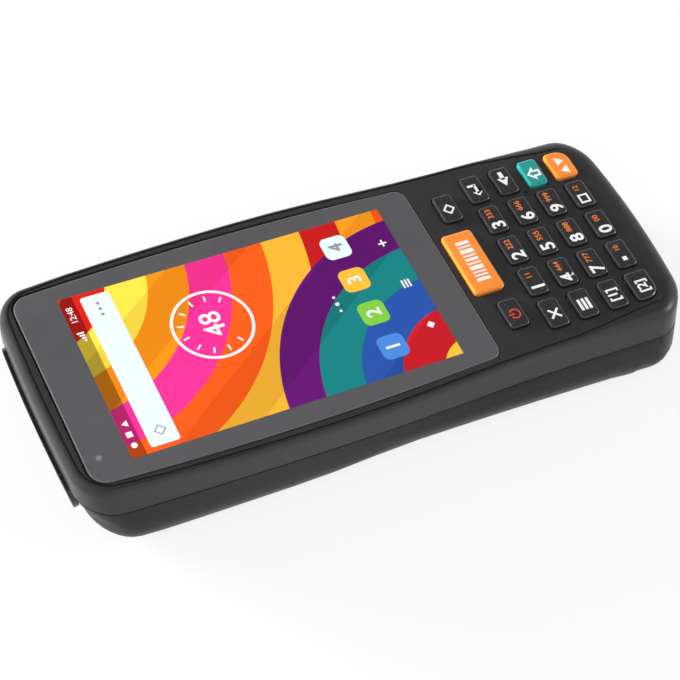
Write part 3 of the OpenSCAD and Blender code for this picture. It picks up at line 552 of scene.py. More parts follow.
class Bench:
    """Modelling steps, each on one piece at a time."""

    CURVE_STEPS = 4         # facets in each curve of a printed figure
    DOUBLED = 0.005         # points of an outline that lie closer, as a share of the letter size, are one
    MERGE = 0.002 * MM      # points of a CAD mesh that lie closer are one
    FLAT = 0.4              # degrees up to which two faces of a CAD mesh are one
    SHARP = 35              # degrees above which an edge of a CAD mesh stays sharp
    FACE_WEIGHT = 90        # how far, of 100, the broad faces set the shading at their edges

    @staticmethod
    def only(*pieces: bpy.types.Object) -> None:
        """Select these pieces and nothing else.

        Args:
            pieces: Pieces to select, of which the first becomes active.
        """
        bpy.ops.object.select_all(action="DESELECT")
        for piece in pieces:
            piece.select_set(True)
        bpy.context.view_layer.objects.active = pieces[0]

    @staticmethod
    def start(operator: Callable[..., object], name: str, **settings: object) -> bpy.types.Object:
        """Add a primitive, a text, a lamp or a camera, with nothing else selected.

        Args:
            operator: Operator that adds it.
            name: Name of the new object.
            settings: Settings of the operator.

        Returns:
            The new object.
        """
        bpy.ops.object.select_all(action="DESELECT")
        operator(**settings)
        piece = bpy.context.active_object
        piece.name = name
        return piece

    @staticmethod
    def settle(piece: bpy.types.Object) -> bpy.types.Object:
        """Put a piece's place, turn and scale into its mesh.

        Args:
            piece: Piece to settle.

        Returns:
            The piece.
        """
        Bench.only(piece)
        bpy.ops.object.transform_apply(location=True, rotation=True, scale=True)
        return piece

    @staticmethod
    def block(name: str, low: Vector, high: Vector) -> bpy.types.Object:
        """Add a block between two corners.

        Args:
            name: Name of the piece.
            low: Lowest corner.
            high: Highest corner.

        Returns:
            The block.
        """
        piece = Bench.start(bpy.ops.mesh.primitive_cube_add, name, size=1, location=(low + high) / 2)
        piece.scale = high - low
        return Bench.settle(piece)

    @staticmethod
    def disc(name: str, foot: Vector, radius: float, height: float, sides: int) -> bpy.types.Object:
        """Add a flat disc.

        Args:
            name: Name of the piece.
            foot: Middle of its lower face.
            radius: Radius of the disc.
            height: Thickness of the disc.
            sides: Number of sides.

        Returns:
            The disc.
        """
        middle = foot + Vector((0, 0, height / 2))
        return Bench.settle(Bench.start(bpy.ops.mesh.primitive_cylinder_add, name, vertices=sides,
                                        radius=radius, depth=height, location=middle))

    @staticmethod
    def round_edges(piece: bpy.types.Object, test: EdgeTest, width: float, segments: int) -> None:
        """Round the edges that pass a test.

        Args:
            piece: Piece to work on.
            test: Test of an edge's two ends.
            width: Width of the rounding.
            segments: Number of facets across it.
        """
        Bench.only(piece)
        bpy.context.tool_settings.mesh_select_mode = (False, True, False)
        mesh = piece.data
        for group in (mesh.vertices, mesh.edges, mesh.polygons):
            for item in group:
                item.select = False
        for edge in mesh.edges:
            edge.select = test(*(mesh.vertices[end].co for end in edge.vertices))
        bpy.ops.object.mode_set(mode="EDIT")
        bpy.ops.mesh.bevel(offset=width, offset_type="OFFSET", segments=segments, affect="EDGES",
                           clamp_overlap=False)
        bpy.ops.object.mode_set(mode="OBJECT")

    @staticmethod
    def modify(piece: bpy.types.Object, kind: str, **settings: object) -> None:
        """Add a modifier to a piece and apply it.

        Args:
            piece: Piece to modify.
            kind: Blender's modifier type.
            settings: Settings of the modifier.
        """
        Bench.only(piece)
        modifier = piece.modifiers.new(kind.lower(), kind)
        for name, value in settings.items():
            setattr(modifier, name, value)
        bpy.ops.object.modifier_apply(modifier=modifier.name)

    @staticmethod
    def smooth(piece: bpy.types.Object, degrees: float) -> None:
        """Shade a piece smoothly, with its broad faces kept flat.

        Args:
            piece: Piece to shade.
            degrees: Angle above which an edge stays sharp.
        """
        Bench.only(piece)
        bpy.ops.object.shade_smooth_by_angle(angle=math.radians(degrees))
        Bench.modify(piece, "WEIGHTED_NORMAL", mode="FACE_AREA", weight=Bench.FACE_WEIGHT, keep_sharp=True)

    @staticmethod
    def join(name: str, pieces: list[bpy.types.Object]) -> bpy.types.Object:
        """Join pieces, their materials kept, into one.

        Args:
            name: Name of the whole.
            pieces: Pieces to join.

        Returns:
            The whole.
        """
        Bench.only(*pieces)
        bpy.ops.object.join()
        pieces[0].name = name
        return pieces[0]

    @staticmethod
    def dress(piece: bpy.types.Object, finish: Finish) -> bpy.types.Object:
        """Give a piece one finish.

        Args:
            piece: Piece to dress.
            finish: Its finish.

        Returns:
            The piece.
        """
        piece.data.materials.clear()
        piece.data.materials.append(finish.material)
        return piece

    @staticmethod
    def paint(piece: bpy.types.Object, finish: Finish, test: FaceTest) -> None:
        """Give a second finish to some faces.

        Args:
            piece: Piece to paint.
            finish: The second finish.
            test: Test that such a face passes.
        """
        piece.data.materials.append(finish.material)
        for face in piece.data.polygons:
            if test(face):
                face.material_index = len(piece.data.materials) - 1

    @staticmethod
    def clear_outline(piece: bpy.types.Object) -> None:
        """Delete each point of a figure's outline that lies on the next one, because it folds when thickened.

        Args:
            piece: Outline of the figure.
        """
        bpy.ops.object.mode_set(mode="EDIT")
        bpy.ops.curve.select_all(action="DESELECT")
        doubled = False
        for outline in piece.data.splines:
            points = list(outline.bezier_points)
            for point, follower in zip(points, points[1:] + points[:1]):
                if (point.co - follower.co).length < Bench.DOUBLED:
                    point.select_control_point = doubled = True
        if doubled:
            bpy.ops.curve.delete(type="VERT")
        bpy.ops.object.mode_set(mode="OBJECT")

    @staticmethod
    def mark(text: str, centre: Vector, height: float, weight: float, depth: float,
             ink: Finish) -> bpy.types.Object:
        """Model one printed figure or sign as a thin solid.

        Args:
            text: Figure or sign.
            centre: Middle of its lower face.
            height: Height of the figure.
            weight: How much its strokes are thickened, as a share of the letter size.
            depth: Thickness of the print.
            ink: Finish of the print.

        Returns:
            The print.
        """
        piece = Bench.start(bpy.ops.object.text_add, "print")
        piece.data.body = text
        piece.data.resolution_u = Bench.CURVE_STEPS
        bpy.ops.object.convert(target="CURVE")
        piece = bpy.context.active_object
        Bench.clear_outline(piece)
        piece.data.offset = weight
        bpy.ops.object.convert(target="MESH")
        piece = bpy.context.active_object
        points = [vertex.co for vertex in piece.data.vertices]
        low = Vector((min(point.x for point in points), min(point.y for point in points), 0))
        high = Vector((max(point.x for point in points), max(point.y for point in points), 0))
        scale = Matrix.Scale(height / (high.y - low.y), 4)
        piece.data.transform(Matrix.Translation(centre) @ scale @ Matrix.Translation(-(low + high) / 2))
        Bench.modify(piece, "SOLIDIFY", thickness=depth, offset=1.0)
        bpy.ops.object.shade_flat()
        return Bench.dress(piece, ink)

    @staticmethod
    def refined(node: str, slot: str, edge: float = 0.0, angle: float = 40.0,
                segments: int = 2) -> bpy.types.Object:
        """Make a finer copy of a CAD node: merged, its sharp edges broken, smoothly shaded.

        Args:
            node: Name of the CAD node.
            slot: Material slot that gives the copy its finish.
            edge: Width of the broken edges, none if 0.
            angle: Angle in degrees above which an edge is broken.
            segments: Number of facets across a broken edge.

        Returns:
            The copy, which stands for the node.
        """
        piece = bpy.data.objects.new(f"{node}_fine", FRAME["nodes"][node].data.copy())
        bpy.context.scene.collection.objects.link(piece)
        Bench.only(piece)
        bpy.ops.object.mode_set(mode="EDIT")
        bpy.ops.mesh.select_all(action="SELECT")
        bpy.ops.mesh.remove_doubles(threshold=Bench.MERGE)
        bpy.ops.mesh.dissolve_limited(angle_limit=math.radians(Bench.FLAT))
        bpy.ops.object.mode_set(mode="OBJECT")
        if edge:
            Bench.modify(piece, "BEVEL", width=edge, segments=segments, limit_method="ANGLE",
                         angle_limit=math.radians(angle), use_clamp_overlap=True, miter_outer="MITER_ARC")
        Bench.smooth(piece, Bench.SHARP)
        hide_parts(node)
        return Bench.dress(piece, SLOT_FINISH[slot])


def seat(piece: bpy.types.Object, body: str) -> None:
    """Let a finished piece ride on a body.

    Args:
        piece: Finished piece.
        body: CAD body that carries it.
    """
    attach(piece, body)
    LOG.info("%s rides on %s", piece.name, body)


# ---------------------------------------------------------------- housings
@dataclass
class Shells:
    """Front and rear housing, battery cover and the screws that close them."""

    broken_edge: float = 0.1 * MM
    screw_edge: float = 0.12 * MM

    def build(self) -> None:
        """Model the housings and their fasteners."""
        for node, body, slot, edge in (
            ("front_housing", ROOT_BODY, "front_plastic", self.broken_edge),
            ("rear_housing", ROOT_BODY, "rear_plastic", self.broken_edge),
            ("battery_cover", COVER_BODY, "rear_plastic", self.broken_edge),
            ("housing_screws", ROOT_BODY, "screw_steel", self.screw_edge),
            ("cover_screws", COVER_BODY, "screw_steel", self.screw_edge),
        ):
            seat(Bench.refined(node, slot, edge), body)


# ---------------------------------------------------------------- touch screen
@dataclass
class Ground:
    """Level of the glass on which the lit things lie: places in millimetres from the picture's middle."""

    top: float
    middle: float = 25.95 * MM
    layer: float = 0.02 * MM
    corner_steps: int = 8
    ring_sides: int = 96

    def at(self, across: float, along: float, layers: int = 1) -> Vector:
        """Return a point, some layers up."""
        return Vector((across * MM, self.middle + along * MM, self.top + layers * self.layer))

    def plate(self, centre: tuple[float, float], size: tuple[float, float], radius: float,
              finish: Finish) -> bpy.types.Object:
        """Model a thin rounded plate.

        Args:
            centre: Its middle in millimetres.
            size: Width and length in millimetres.
            radius: Corner radius in millimetres.
            finish: Finish of the plate.

        Returns:
            The plate.
        """
        low = self.at(centre[0] - size[0] / 2, centre[1] - size[1] / 2, 1)
        high = self.at(centre[0] + size[0] / 2, centre[1] + size[1] / 2, 2)
        piece = Bench.block("plate", low, high)
        Bench.round_edges(piece, lambda start, end: abs(start.z - end.z) > self.layer / 2, radius * MM,
                          self.corner_steps)
        return Bench.dress(piece, finish)

    def figure(self, text: str, across: float, along: float, height: float, weight: float = 0.0,
               layers: int = 1, ink: Finish = Finish.WHITE_INK) -> bpy.types.Object:
        """Model a figure or sign, its place and height in millimetres, some layers up."""
        return Bench.mark(text, self.at(across, along, layers), height * MM, weight, self.layer, ink)

    def ring(self, centre: tuple[float, float], radius: float, width: float) -> bpy.types.Object:
        """Model a flat white ring.

        Args:
            centre: Its middle in millimetres.
            radius: Outer radius in millimetres.
            width: Width of the band in millimetres.

        Returns:
            The ring.
        """
        middle = self.at(*centre)
        piece = Bench.settle(Bench.start(bpy.ops.mesh.primitive_circle_add, "ring", radius=radius * MM,
                                         vertices=self.ring_sides, fill_type="NOTHING", location=middle))
        bpy.ops.object.mode_set(mode="EDIT")
        bpy.ops.mesh.select_all(action="SELECT")
        bpy.ops.mesh.extrude_edges_move()
        share = (radius - width) / radius
        bpy.ops.transform.resize(value=(share, share, 1), center_override=middle)
        bpy.ops.mesh.select_all(action="SELECT")
        bpy.ops.mesh.normals_make_consistent(inside=False)
        bpy.ops.object.mode_set(mode="OBJECT")
        if piece.data.polygons[0].normal.z < 0:
            piece.data.flip_normals()
        Bench.modify(piece, "SOLIDIFY", thickness=self.layer, offset=1.0)
        return Bench.dress(piece, Finish.WHITE_INK)


@dataclass
class StatusStrip:
    """Small signs along the scanner end of the picture, in millimetres."""

    along: float = 42.5
    clock: str = "12:48"
    clock_across: float = 19.5
    clock_height: float = 1.7
    clock_weight: float = 0.01
    signs: str = "●■▲"
    first_sign: float = -21.5
    sign_pitch: float = 3.2
    sign_height: float = 1.6
    bar_heights: tuple[float, ...] = (0.6, 1.0, 1.4, 1.8)
    first_bar: float = 11.2
    bar_pitch: float = 0.8
    bar_foot: float = 41.6
    bar_width: float = 0.5
    bar_corner: float = 0.05

    def build(self, ground: Ground) -> list[bpy.types.Object]:
        """Model the clock, the three signs and the four bars.

        Args:
            ground: Ground that they lie on.

        Returns:
            The signs.
        """
        parts = [ground.figure(self.clock, self.clock_across, self.along, self.clock_height,
                               self.clock_weight)]
        parts += [ground.figure(sign, self.first_sign + self.sign_pitch * place, self.along,
                                self.sign_height) for place, sign in enumerate(self.signs)]
        for place, height in enumerate(self.bar_heights):
            centre = (self.first_bar + self.bar_pitch * place, self.bar_foot + height / 2)
            parts.append(ground.plate(centre, (self.bar_width, height), self.bar_corner, Finish.WHITE_INK))
        return parts


@dataclass
class PaleCard:
    """Pale card across the picture with its grey signs, in millimetres."""

    along: float = 35.2
    size: tuple[float, float] = (47.2, 7.6)
    corner: float = 0.8
    sign: str = "◇"
    sign_across: float = -19.5
    sign_height: float = 3.2
    dots: int = 3
    first_dot: float = 17.2
    dot_pitch: float = 1.8
    dot_height: float = 0.9

    def build(self, ground: Ground) -> list[bpy.types.Object]:
        """Model the card, its sign and its dots.

        Args:
            ground: Ground that they lie on.

        Returns:
            The card and what is on it.
        """
        signs = [(self.sign, self.sign_across, self.sign_height)]
        for place in range(self.dots):
            signs.append(("●", self.first_dot + self.dot_pitch * place, self.dot_height))
        return [ground.plate((0, self.along), self.size, self.corner, Finish.PALE_TILE)] + [
            ground.figure(sign, across, self.along, height, layers=2, ink=Finish.GREY_INK)
            for sign, across, height in signs]


@dataclass
class Dial:
    """Round gauge on the picture, in millimetres and degrees."""

    centre: tuple[float, float] = (5.0, 11.0)
    radius: float = 10.6
    band: float = 0.8
    ticks: int = 10
    first_turn: float = 126
    turn_step: float = 28
    tick_size: tuple[float, float] = (0.5, 1.7)
    tick_corner: float = 0.02
    tick_inset: float = 2.6
    reading: str = "48"
    reading_height: float = 5.6
    reading_weight: float = 0.01

    def build(self, ground: Ground) -> list[bpy.types.Object]:
        """Model the ring, its ticks and the reading.

        Args:
            ground: Ground that they lie on.

        Returns:
            The pieces of the gauge.
        """
        parts = [ground.ring(self.centre, self.radius, self.band)]
        hub = Matrix.Translation(ground.at(*self.centre, 0))
        reach = Vector((0, (self.radius - self.tick_inset) * MM, 0))
        outwards = Matrix.Translation(reach - ground.at(0, 0, 0))
        for step in range(self.ticks):
            turn = Matrix.Rotation(math.radians(self.first_turn - self.turn_step * step), 4, "Z")
            tick = ground.plate((0, 0), self.tick_size, self.tick_corner, Finish.WHITE_INK)
            tick.data.transform(hub @ turn @ outwards)
            parts.append(tick)
        parts.append(ground.figure(self.reading, *self.centre, self.reading_height, self.reading_weight))
        return parts


@dataclass
class Tiles:
    """Four numbered tiles, the page dots and the three touch signs, in millimetres."""

    finishes: tuple[Finish, ...] = (Finish.BLUE_TILE, Finish.GREEN_TILE, Finish.SUN_TILE, Finish.PALE_TILE)
    along: float = -28.5
    first: float = -16.8
    pitch: float = 11.2
    side: float = 7.2
    corner: float = 1.8
    number_height: float = 3.9
    number_weight: float = 0.02
    dots_along: float = -21.0
    dot_pitch: float = 2.2
    dot_heights: tuple[float, ...] = (0.8, 1.1, 0.8)
    signs: tuple[tuple[str, float], ...] = (("◆", -14.0), ("≡", 0.0), ("+", 14.0))
    signs_along: float = -40.6
    sign_height: float = 2.3
    sign_weight: float = 0.01

    def build(self, ground: Ground) -> list[bpy.types.Object]:
        """Model the tiles with their numbers, the dots and the signs.

        Args:
            ground: Ground that they lie on.

        Returns:
            The tiles and signs.
        """
        parts = []
        for place, finish in enumerate(self.finishes):
            across = self.first + self.pitch * place
            parts.append(ground.plate((across, self.along), (self.side, self.side), self.corner, finish))
            ink = Finish.GREY_INK if finish is Finish.PALE_TILE else Finish.WHITE_INK
            parts.append(ground.figure(str(place + 1), across, self.along, self.number_height,
                                       self.number_weight, 2, ink))
        middle = len(self.dot_heights) // 2
        for place, height in enumerate(self.dot_heights):
            parts.append(ground.figure("●", self.dot_pitch * (place - middle), self.dots_along, height))
        for sign, across in self.signs:
            parts.append(ground.figure(sign, across, self.signs_along, self.sign_height, self.sign_weight))
        return parts


@dataclass
class TouchScreen:
    """Cover glass with its printed border, and the lit picture of the display."""

    chamfer: float = 0.28 * MM
    chamfer_steps: int = 3
    chamfer_angle: float = 30
    edge_search: float = 0.01 * MM                  # how far below the upper face its edges are looked for
    slope: tuple[float, float] = (0.1, 0.98)        # how steeply up a face of the chamfer points, whose lighter colour is a painted highlight
    sensor: tuple[float, float] = (-21.9 * MM, 77.55 * MM)
    sensor_radius: float = 0.75 * MM
    sensor_sides: int = 32
    # sizes and places of the picture, in millimetres from its middle
    lit_size: tuple[float, float] = (49.8, 88.6)
    first_centre: tuple[float, float] = (31, 52)
    second_centre: tuple[float, float] = (-31, -48)
    second_reach: float = 52
    strip_from: float = 40.6

    def __post_init__(self) -> None:
        """Take the level of the glass from the frame."""
        self.ground = Ground(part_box("touch_glass")[1].z)

    def build(self) -> None:
        """Model the glass and everything that it shows."""
        self.glass()
        parts = [self.picture()]
        for group in (StatusStrip(), PaleCard(), Dial(), Tiles()):
            parts += group.build(self.ground)
        seat(Bench.join("lit_screen", parts), ROOT_BODY)

    def glass(self) -> None:
        """Model the cover glass with its chamfer painted lighter as a highlight, and the light sensor behind
        it.
        """
        top = self.ground.top
        least, most = self.slope
        piece = Bench.refined("touch_glass", "touch_glass")
        Bench.round_edges(piece, both(lambda point: point.z > top - self.edge_search), self.chamfer,
                          self.chamfer_steps)
        Bench.smooth(piece, self.chamfer_angle)
        # the chamfer's faces take a lighter colour, which paints a highlight along the glass's edge
        Bench.paint(piece, Finish.GROUND_EDGE,
                    lambda face: face.center.z > top - self.chamfer and least < face.normal.z < most)
        spot = Bench.disc("sensor", Vector((*self.sensor, top)), self.sensor_radius, self.ground.layer,
                          self.sensor_sides)
        seat(Bench.join("cover_glass", [piece, Bench.dress(spot, Finish.SENSOR)]), ROOT_BODY)

    def picture(self) -> bpy.types.Object:
        """Model the lit area.

        Returns:
            A thin plate with the background picture.
        """
        width, length = self.lit_size
        piece = Bench.block("picture", self.ground.at(-width / 2, -length / 2, 0),
                            self.ground.at(width / 2, length / 2, 1))
        look = LitPicture("lit_picture", self.ground.at(*self.first_centre, 0),
                          self.ground.at(*self.second_centre, 0), self.second_reach * MM,
                          self.ground.at(0, self.strip_from, 0).y)
        piece.data.materials.append(look.material())
        return piece


# ---------------------------------------------------------------- keypad
@dataclass(frozen=True)
class Sign:
    """One printed sign of a key, with its height and its place from the cap's middle in millimetres."""

    text: str
    height: float
    weight: float = 0.0
    across: float = -0.6
    along: float = 0.0
    ink: Finish = Finish.WHITE_INK


class Legend(Enum):
    """What is printed on each key that has no number."""

    POWER = (Sign("⏻", 3.3, 0.015, ink=Finish.RED_INK),)
    SHORTCUT = (Sign("◇", 3.6, 0.03),)
    ESCAPE = (Sign("✕", 3.2, 0.045),)
    ENTER = (Sign("↵", 3.5, 0.04),)
    ARROW = (Sign("◀", 3.3),)
    MENU = (Sign("≡", 3.2, 0.02),)
    FUNCTION_1 = (Sign("[1]", 3.6, 0.025),)
    FUNCTION_2 = (Sign("[2]", 3.6, 0.025),)
    SHIFT = (Sign("⇧", 4.0, 0.03),)
    CASE = (Sign("▲▼", 2.6),)
    STAR = (Sign("■", 1.3, 0.0, -2.0), Sign("10", 1.5, 0.01, 1.9, 0.5, Finish.ORANGE_INK))
    HASH = (Sign("□", 3.0, 0.03, -2.0), Sign("12", 1.5, 0.01, 1.9, 0.5, Finish.ORANGE_INK))


def number_legend(digit: str) -> tuple[Sign, ...]:
    """Return the legend of a number key: its number, and the number repeated small beside it."""
    return (Sign(digit, 3.9, 0.025, -2.3, -0.2),
            Sign(digit * (2 if digit in "01" else 3), 1.6, 0.012, 1.7, 0.6, Finish.ORANGE_INK))


@dataclass
class Keypad:
    """The 23 keys: rounded caps on their flanges, with their printed legends."""

    prefix: str = "key_"
    corner: float = 1.1 * MM
    wide_corner: float = 3.5 * MM
    corner_steps: int = 6
    top_round: float = 0.62 * MM
    top_steps: int = 5
    cap_angle: float = 40
    flange_lap: float = 0.85 * MM
    flange_play: float = 0.1 * MM
    flange_thickness: float = 0.5 * MM
    flange_top: float = 22.0 * MM
    nub_radius: float = 1.2 * MM
    nub_height: float = 0.2 * MM
    nub_sides: int = 24
    ink: float = 0.03 * MM
    arrow_shaft: tuple[float, float] = (0.2, 2.9)
    shaft_half: float = 0.6
    strokes: tuple[float, ...] = (1.0, 0.5, 0.5, 1.3, 0.5, 0.9, 0.5, 1.3, 0.5, 1.0)
    first_stroke: float = -6.6
    stroke_gap: float = 0.6
    stroke_half: float = 1.9

    FINISHES = {"scan": Finish.ORANGE_KEY, "case": Finish.ORANGE_KEY, "shift": Finish.TEAL_KEY}

    def build(self) -> None:
        """Model every key of the frame."""
        for node in sorted(name for name in FRAME["nodes"] if name.startswith(self.prefix)):
            self.key(node)

    def key(self, node: str) -> None:
        """Model one key: its cap, the flange that holds it, the nub that presses its dome, and its legend.

        Args:
            node: Name of the CAD node that it stands for.
        """
        name = node.removeprefix(self.prefix)
        low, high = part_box(node)
        low_cap = Vector((low.x, low.y + self.flange_lap, self.flange_top))
        high_cap = Vector((high.x, high.y - self.flange_lap, high.z))
        middle = (low_cap + high_cap) / 2
        cap = Bench.block(f"{node}_cap", low_cap, high_cap)
        self.round_cap(cap, name, low_cap, high_cap)
        flange = Bench.block(
            "flange", Vector((low.x + self.flange_play, low.y, self.flange_top - self.flange_thickness)),
            Vector((high.x - self.flange_play, high.y, self.flange_top)))
        nub = Bench.disc("nub", Vector((middle.x, middle.y, low.z)), self.nub_radius, self.nub_height,
                         self.nub_sides)
        finish = self.FINISHES.get(name, Finish.DARK_KEY)
        for piece in (cap, flange, nub):
            Bench.dress(piece, finish)
        Bench.smooth(cap, self.cap_angle)
        prints = self.prints(name, Vector((middle.x, middle.y, high.z - self.ink / 2)))
        whole = Bench.join(f"{node}_cap", [cap, flange, nub, *prints])
        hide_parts(node)
        seat(whole, node)

    def round_cap(self, cap: bpy.types.Object, name: str, low: Vector, high: Vector) -> None:
        """Round a cap's upright corners, one of them wide on the two corner keys, and its upper edge.

        Args:
            cap: Block of the cap.
            name: Name of the key.
            low: Lowest corner of the cap.
            high: Highest corner of the cap.
        """
        wide = {"case": (high.x, low.y), "function_2": (low.x, low.y)}.get(name)
        for corner in ((x, y) for x in (low.x, high.x) for y in (low.y, high.y)):
            Bench.round_edges(cap, both(lambda point: (point.xy - Vector(corner)).length < TOUCH),
                              self.wide_corner if corner == wide else self.corner, self.corner_steps)
        Bench.round_edges(cap, both(lambda point: point.z > high.z - TOUCH), self.top_round, self.top_steps)

    def prints(self, name: str, base: Vector) -> list[bpy.types.Object]:
        """Model the legend of one key.

        Args:
            name: Name of the key.
            base: Middle of the cap's upper face, half the ink's thickness down.

        Returns:
            The printed signs.
        """
        if name == "scan":
            return self.scan_strokes(base)
        legend = number_legend(name) if name.isdigit() else Legend[name.upper()].value
        signs = [Bench.mark(sign.text, base + Vector((sign.across * MM, sign.along * MM, 0)),
                            sign.height * MM, sign.weight, self.ink, sign.ink) for sign in legend]
        if name == "arrow":
            signs.append(self.stroke(base, *self.arrow_shaft, self.shaft_half))
        return signs

    def stroke(self, base: Vector, start: float, end: float, half: float) -> bpy.types.Object:
        """Model one straight printed stroke.

        Args:
            base: Middle of the cap's upper face, half the ink's thickness down.
            start: Where it starts, in millimetres across from there.
            end: Where it ends.
            half: Half its length along, in millimetres.

        Returns:
            The stroke.
        """
        low = base + Vector((start * MM, -half * MM, 0))
        high = base + Vector((end * MM, half * MM, self.ink))
        return Bench.dress(Bench.block("stroke", low, high), Finish.WHITE_INK)

    def scan_strokes(self, base: Vector) -> list[bpy.types.Object]:
        """Model the strokes of a code on the scan key.

        Args:
            base: Middle of the cap's upper face, half the ink's thickness down.

        Returns:
            The strokes.
        """
        parts = []
        place = self.first_stroke
        for width in self.strokes:
            parts.append(self.stroke(base, place, place + width, self.stroke_half))
            place += width + self.stroke_gap
        return parts


# ---------------------------------------------------------------- ends and insides
@dataclass
class OpenEnds:
    """Scan window at one end, port flap at the other, camera and flash at the back."""

    bezel_edge: float = 0.6 * MM
    soft_edge: float = 0.3 * MM
    thin_edge: float = 0.15 * MM
    least_angle: float = 50

    def build(self) -> None:
        """Model the trim pieces."""
        for node, body, slot, edge, segments in (
            ("scan_bezel", ROOT_BODY, "bezel_plastic", self.bezel_edge, 4),
            ("scan_window", ROOT_BODY, "window_red", self.thin_edge, 2),
            ("usb_flap", FLAP_BODY, "flap_rubber", self.soft_edge, 3),
            ("camera_ring", ROOT_BODY, "ring_metal", self.thin_edge, 2),
            ("camera_window", ROOT_BODY, "camera_glass", self.thin_edge, 2),
            ("flash_window", ROOT_BODY, "flash_lens", self.thin_edge, 2),
        ):
            seat(Bench.refined(node, slot, edge, self.least_angle, segments), body)


@dataclass
class Insides:
    """Pieces inside the housings, which keep their CAD shape."""

    keypad_board: str = "keypad_board"

    def build(self) -> None:
        """Give every CAD node the finish of its slot, and the keypad board a blue one."""
        for row in FRAME["record"]["subparts"]:
            finish = SLOT_FINISH[row["material_slot"]]
            if row["node"] == self.keypad_board:
                finish = Finish.KEY_BOARD
            for place in FRAME["nodes"][row["node"]].material_slots:
                place.material = finish.material
            LOG.info("%s is dressed as %s", row["node"], finish.name)


# ---------------------------------------------------------------- studio
@dataclass(frozen=True)
class Lamp:
    """Soft square lamp that faces the terminal: its side in metres, its power in watts."""

    name: str
    place: tuple[float, float, float]
    side: float
    power: float
    reflected: bool = False

    def hang(self) -> None:
        """Add the lamp, which gloss shows only if it is a reflected one."""
        lamp = Bench.start(bpy.ops.object.light_add, self.name, type="AREA", location=self.place)
        lamp.data.shape = "SQUARE"
        lamp.data.size = self.side
        lamp.data.energy = self.power
        lamp.rotation_euler = (-Vector(self.place)).to_track_quat("-Z", "Y").to_euler()
        lamp.visible_glossy = self.reflected


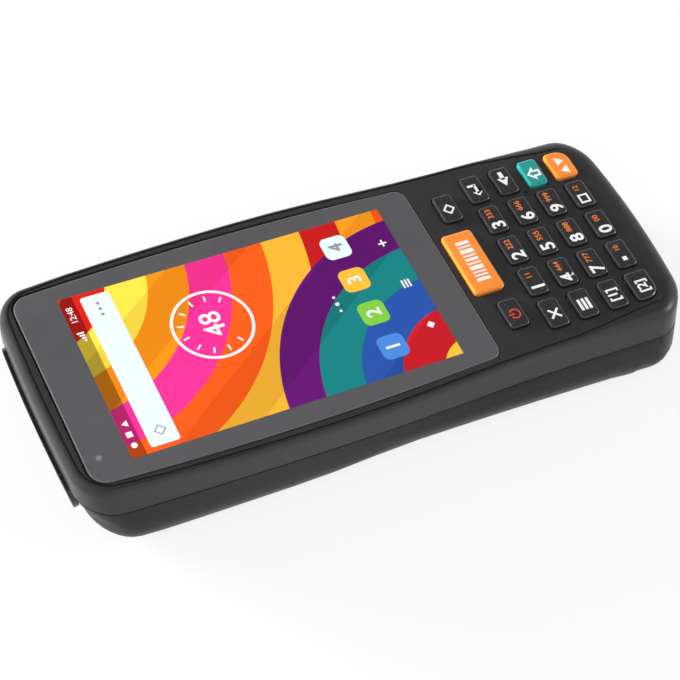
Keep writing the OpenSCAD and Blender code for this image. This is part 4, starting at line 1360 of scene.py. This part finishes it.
@dataclass
class Studio:
    """Camera, lamps, world and floor."""

    camera_place: tuple[float, float, float] = (-0.2637, 0.18395, 0.4256)
    right: tuple[float, float, float] = (-0.427, -0.896, 0.121)
    down: tuple[float, float, float] = (-0.753, 0.277, -0.597)
    ahead: tuple[float, float, float] = (0.501, -0.346, -0.793)
    lens: float = 107.7
    sensor: float = 36.0
    lamps: tuple[Lamp, ...] = (
        Lamp("end_lamp", (0.9, 1.0, 0.15), 0.5, 66.0),
        Lamp("top_lamp", (-0.5, 0.5, 0.9), 0.7, 5.5),
        Lamp("edge_lamp", (-0.42, -1.1, 0.5), 0.4, 6.0, True),
    )
    world_light: float = 0.36
    floor_size: float = 6.0
    floor_level: float = -0.02 * MM
    floor_tone: float = 0.9
    floor_gloss: float = 0.1
    white_share: float = 0.8        # share of plain white that the camera, gloss and glass see in the floor
    gloss_share: float = 0.2        # what gloss sees on top of it
    card_size: float = 2.4
    card_height: float = 1.1
    card_tone: float = 0.1
    card_grain: float = 5 * MM
    matt: float = 0.9

    def build(self) -> None:
        """Set up the whole studio."""
        bpy.context.scene.view_settings.view_transform = "Standard"
        self.camera()
        self.world()
        self.floor()
        self.dark_card()
        for lamp in self.lamps:
            lamp.hang()

    def camera(self) -> None:
        """Place the camera as the photograph was taken."""
        camera = Bench.start(bpy.ops.object.camera_add, "camera")
        camera.data.lens = self.lens
        camera.data.sensor_width = self.sensor
        axes = Matrix((self.right, [-part for part in self.down], [-part for part in self.ahead]))
        camera.matrix_world = Matrix.Translation(self.camera_place) @ axes.transposed().to_4x4()
        bpy.context.scene.camera = camera

    def seen(self, tree: bpy.types.NodeTree) -> bpy.types.NodeSocket:
        """Add nodes that tell a ray of the camera, of gloss or of glass from one of light.

        Args:
            tree: Node tree that takes them.

        Returns:
            1 for such a ray, and 0 for one of light.
        """
        path = tree.nodes.new("ShaderNodeLightPath")
        total = path.outputs["Is Camera Ray"]
        for name in ("Is Glossy Ray", "Is Transmission Ray"):
            node = tree.nodes.new("ShaderNodeMath")
            node.operation = "MAXIMUM"
            tree.links.new(total, node.inputs[0])
            tree.links.new(path.outputs[name], node.inputs[1])
            total = node.outputs["Value"]
        return total

    def world(self) -> None:
        """Make a surround that looks white and lights softly."""
        world = bpy.data.worlds.new("studio")
        bpy.context.scene.world = world
        world.use_nodes = True
        tree = world.node_tree
        ground = tree.nodes["Background"]
        ground.inputs["Color"].default_value = (1, 1, 1, 1)
        level = tree.nodes.new("ShaderNodeMapRange")
        level.inputs["To Min"].default_value = self.world_light
        level.inputs["To Max"].default_value = 1.0
        tree.links.new(self.seen(tree), level.inputs["Value"])
        tree.links.new(level.outputs["Result"], ground.inputs["Strength"])

    def floor(self) -> None:
        """Lay a floor that looks nearly white and keeps the terminal's shadow."""
        floor = Bench.start(bpy.ops.mesh.primitive_plane_add, "floor", size=self.floor_size,
                            location=(0, 0, self.floor_level))
        graph = Graph("pale_floor")
        graph.set(Base_Color=(*grey(self.floor_tone), 1), Roughness=self.matt,
                  Specular_IOR_Level=self.floor_gloss)
        glow = graph.add("ShaderNodeEmission", {"Color": (1, 1, 1, 1), "Strength": 1.0})
        path = graph.add("ShaderNodeLightPath")
        white = graph.compute("MULTIPLY", self.seen(graph.tree), self.white_share)
        gloss = graph.compute("MULTIPLY", path.outputs["Is Glossy Ray"], self.gloss_share)
        mix = graph.add("ShaderNodeMixShader", {"Fac": graph.compute("ADD", white, gloss),
                                                1: graph.shader.outputs["BSDF"],
                                                2: glow.outputs["Emission"]})
        graph.tree.links.new(mix.outputs["Shader"], graph.tree.nodes["Material Output"].inputs["Surface"])
        floor.data.materials.append(graph.material)

    def dark_card(self) -> None:
        """Hang a dark card over the set, which only gloss sees, so that edges stand out from flat faces."""
        card = Bench.start(bpy.ops.mesh.primitive_plane_add, "dark_card", size=self.card_size,
                           location=(0, 0, self.card_height))
        look = Moulded("card_black", grey(self.card_tone), self.matt, self.card_grain)
        card.data.materials.append(look.material())
        card.visible_camera = card.visible_diffuse = card.visible_shadow = False
        card.visible_transmission = card.visible_volume_scatter = False


def main() -> None:
    """Load the frame and build every sub-assembly in order."""
    logging.basicConfig(level=logging.INFO, format="%(name)s: %(message)s")
    FRAME.update(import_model())
    for assembly in (Studio(), Insides(), Shells(), TouchScreen(), Keypad(), OpenEnds()):
        assembly.build()
        LOG.info("%s is built", type(assembly).__name__)


if __name__ == "__main__":
    main()
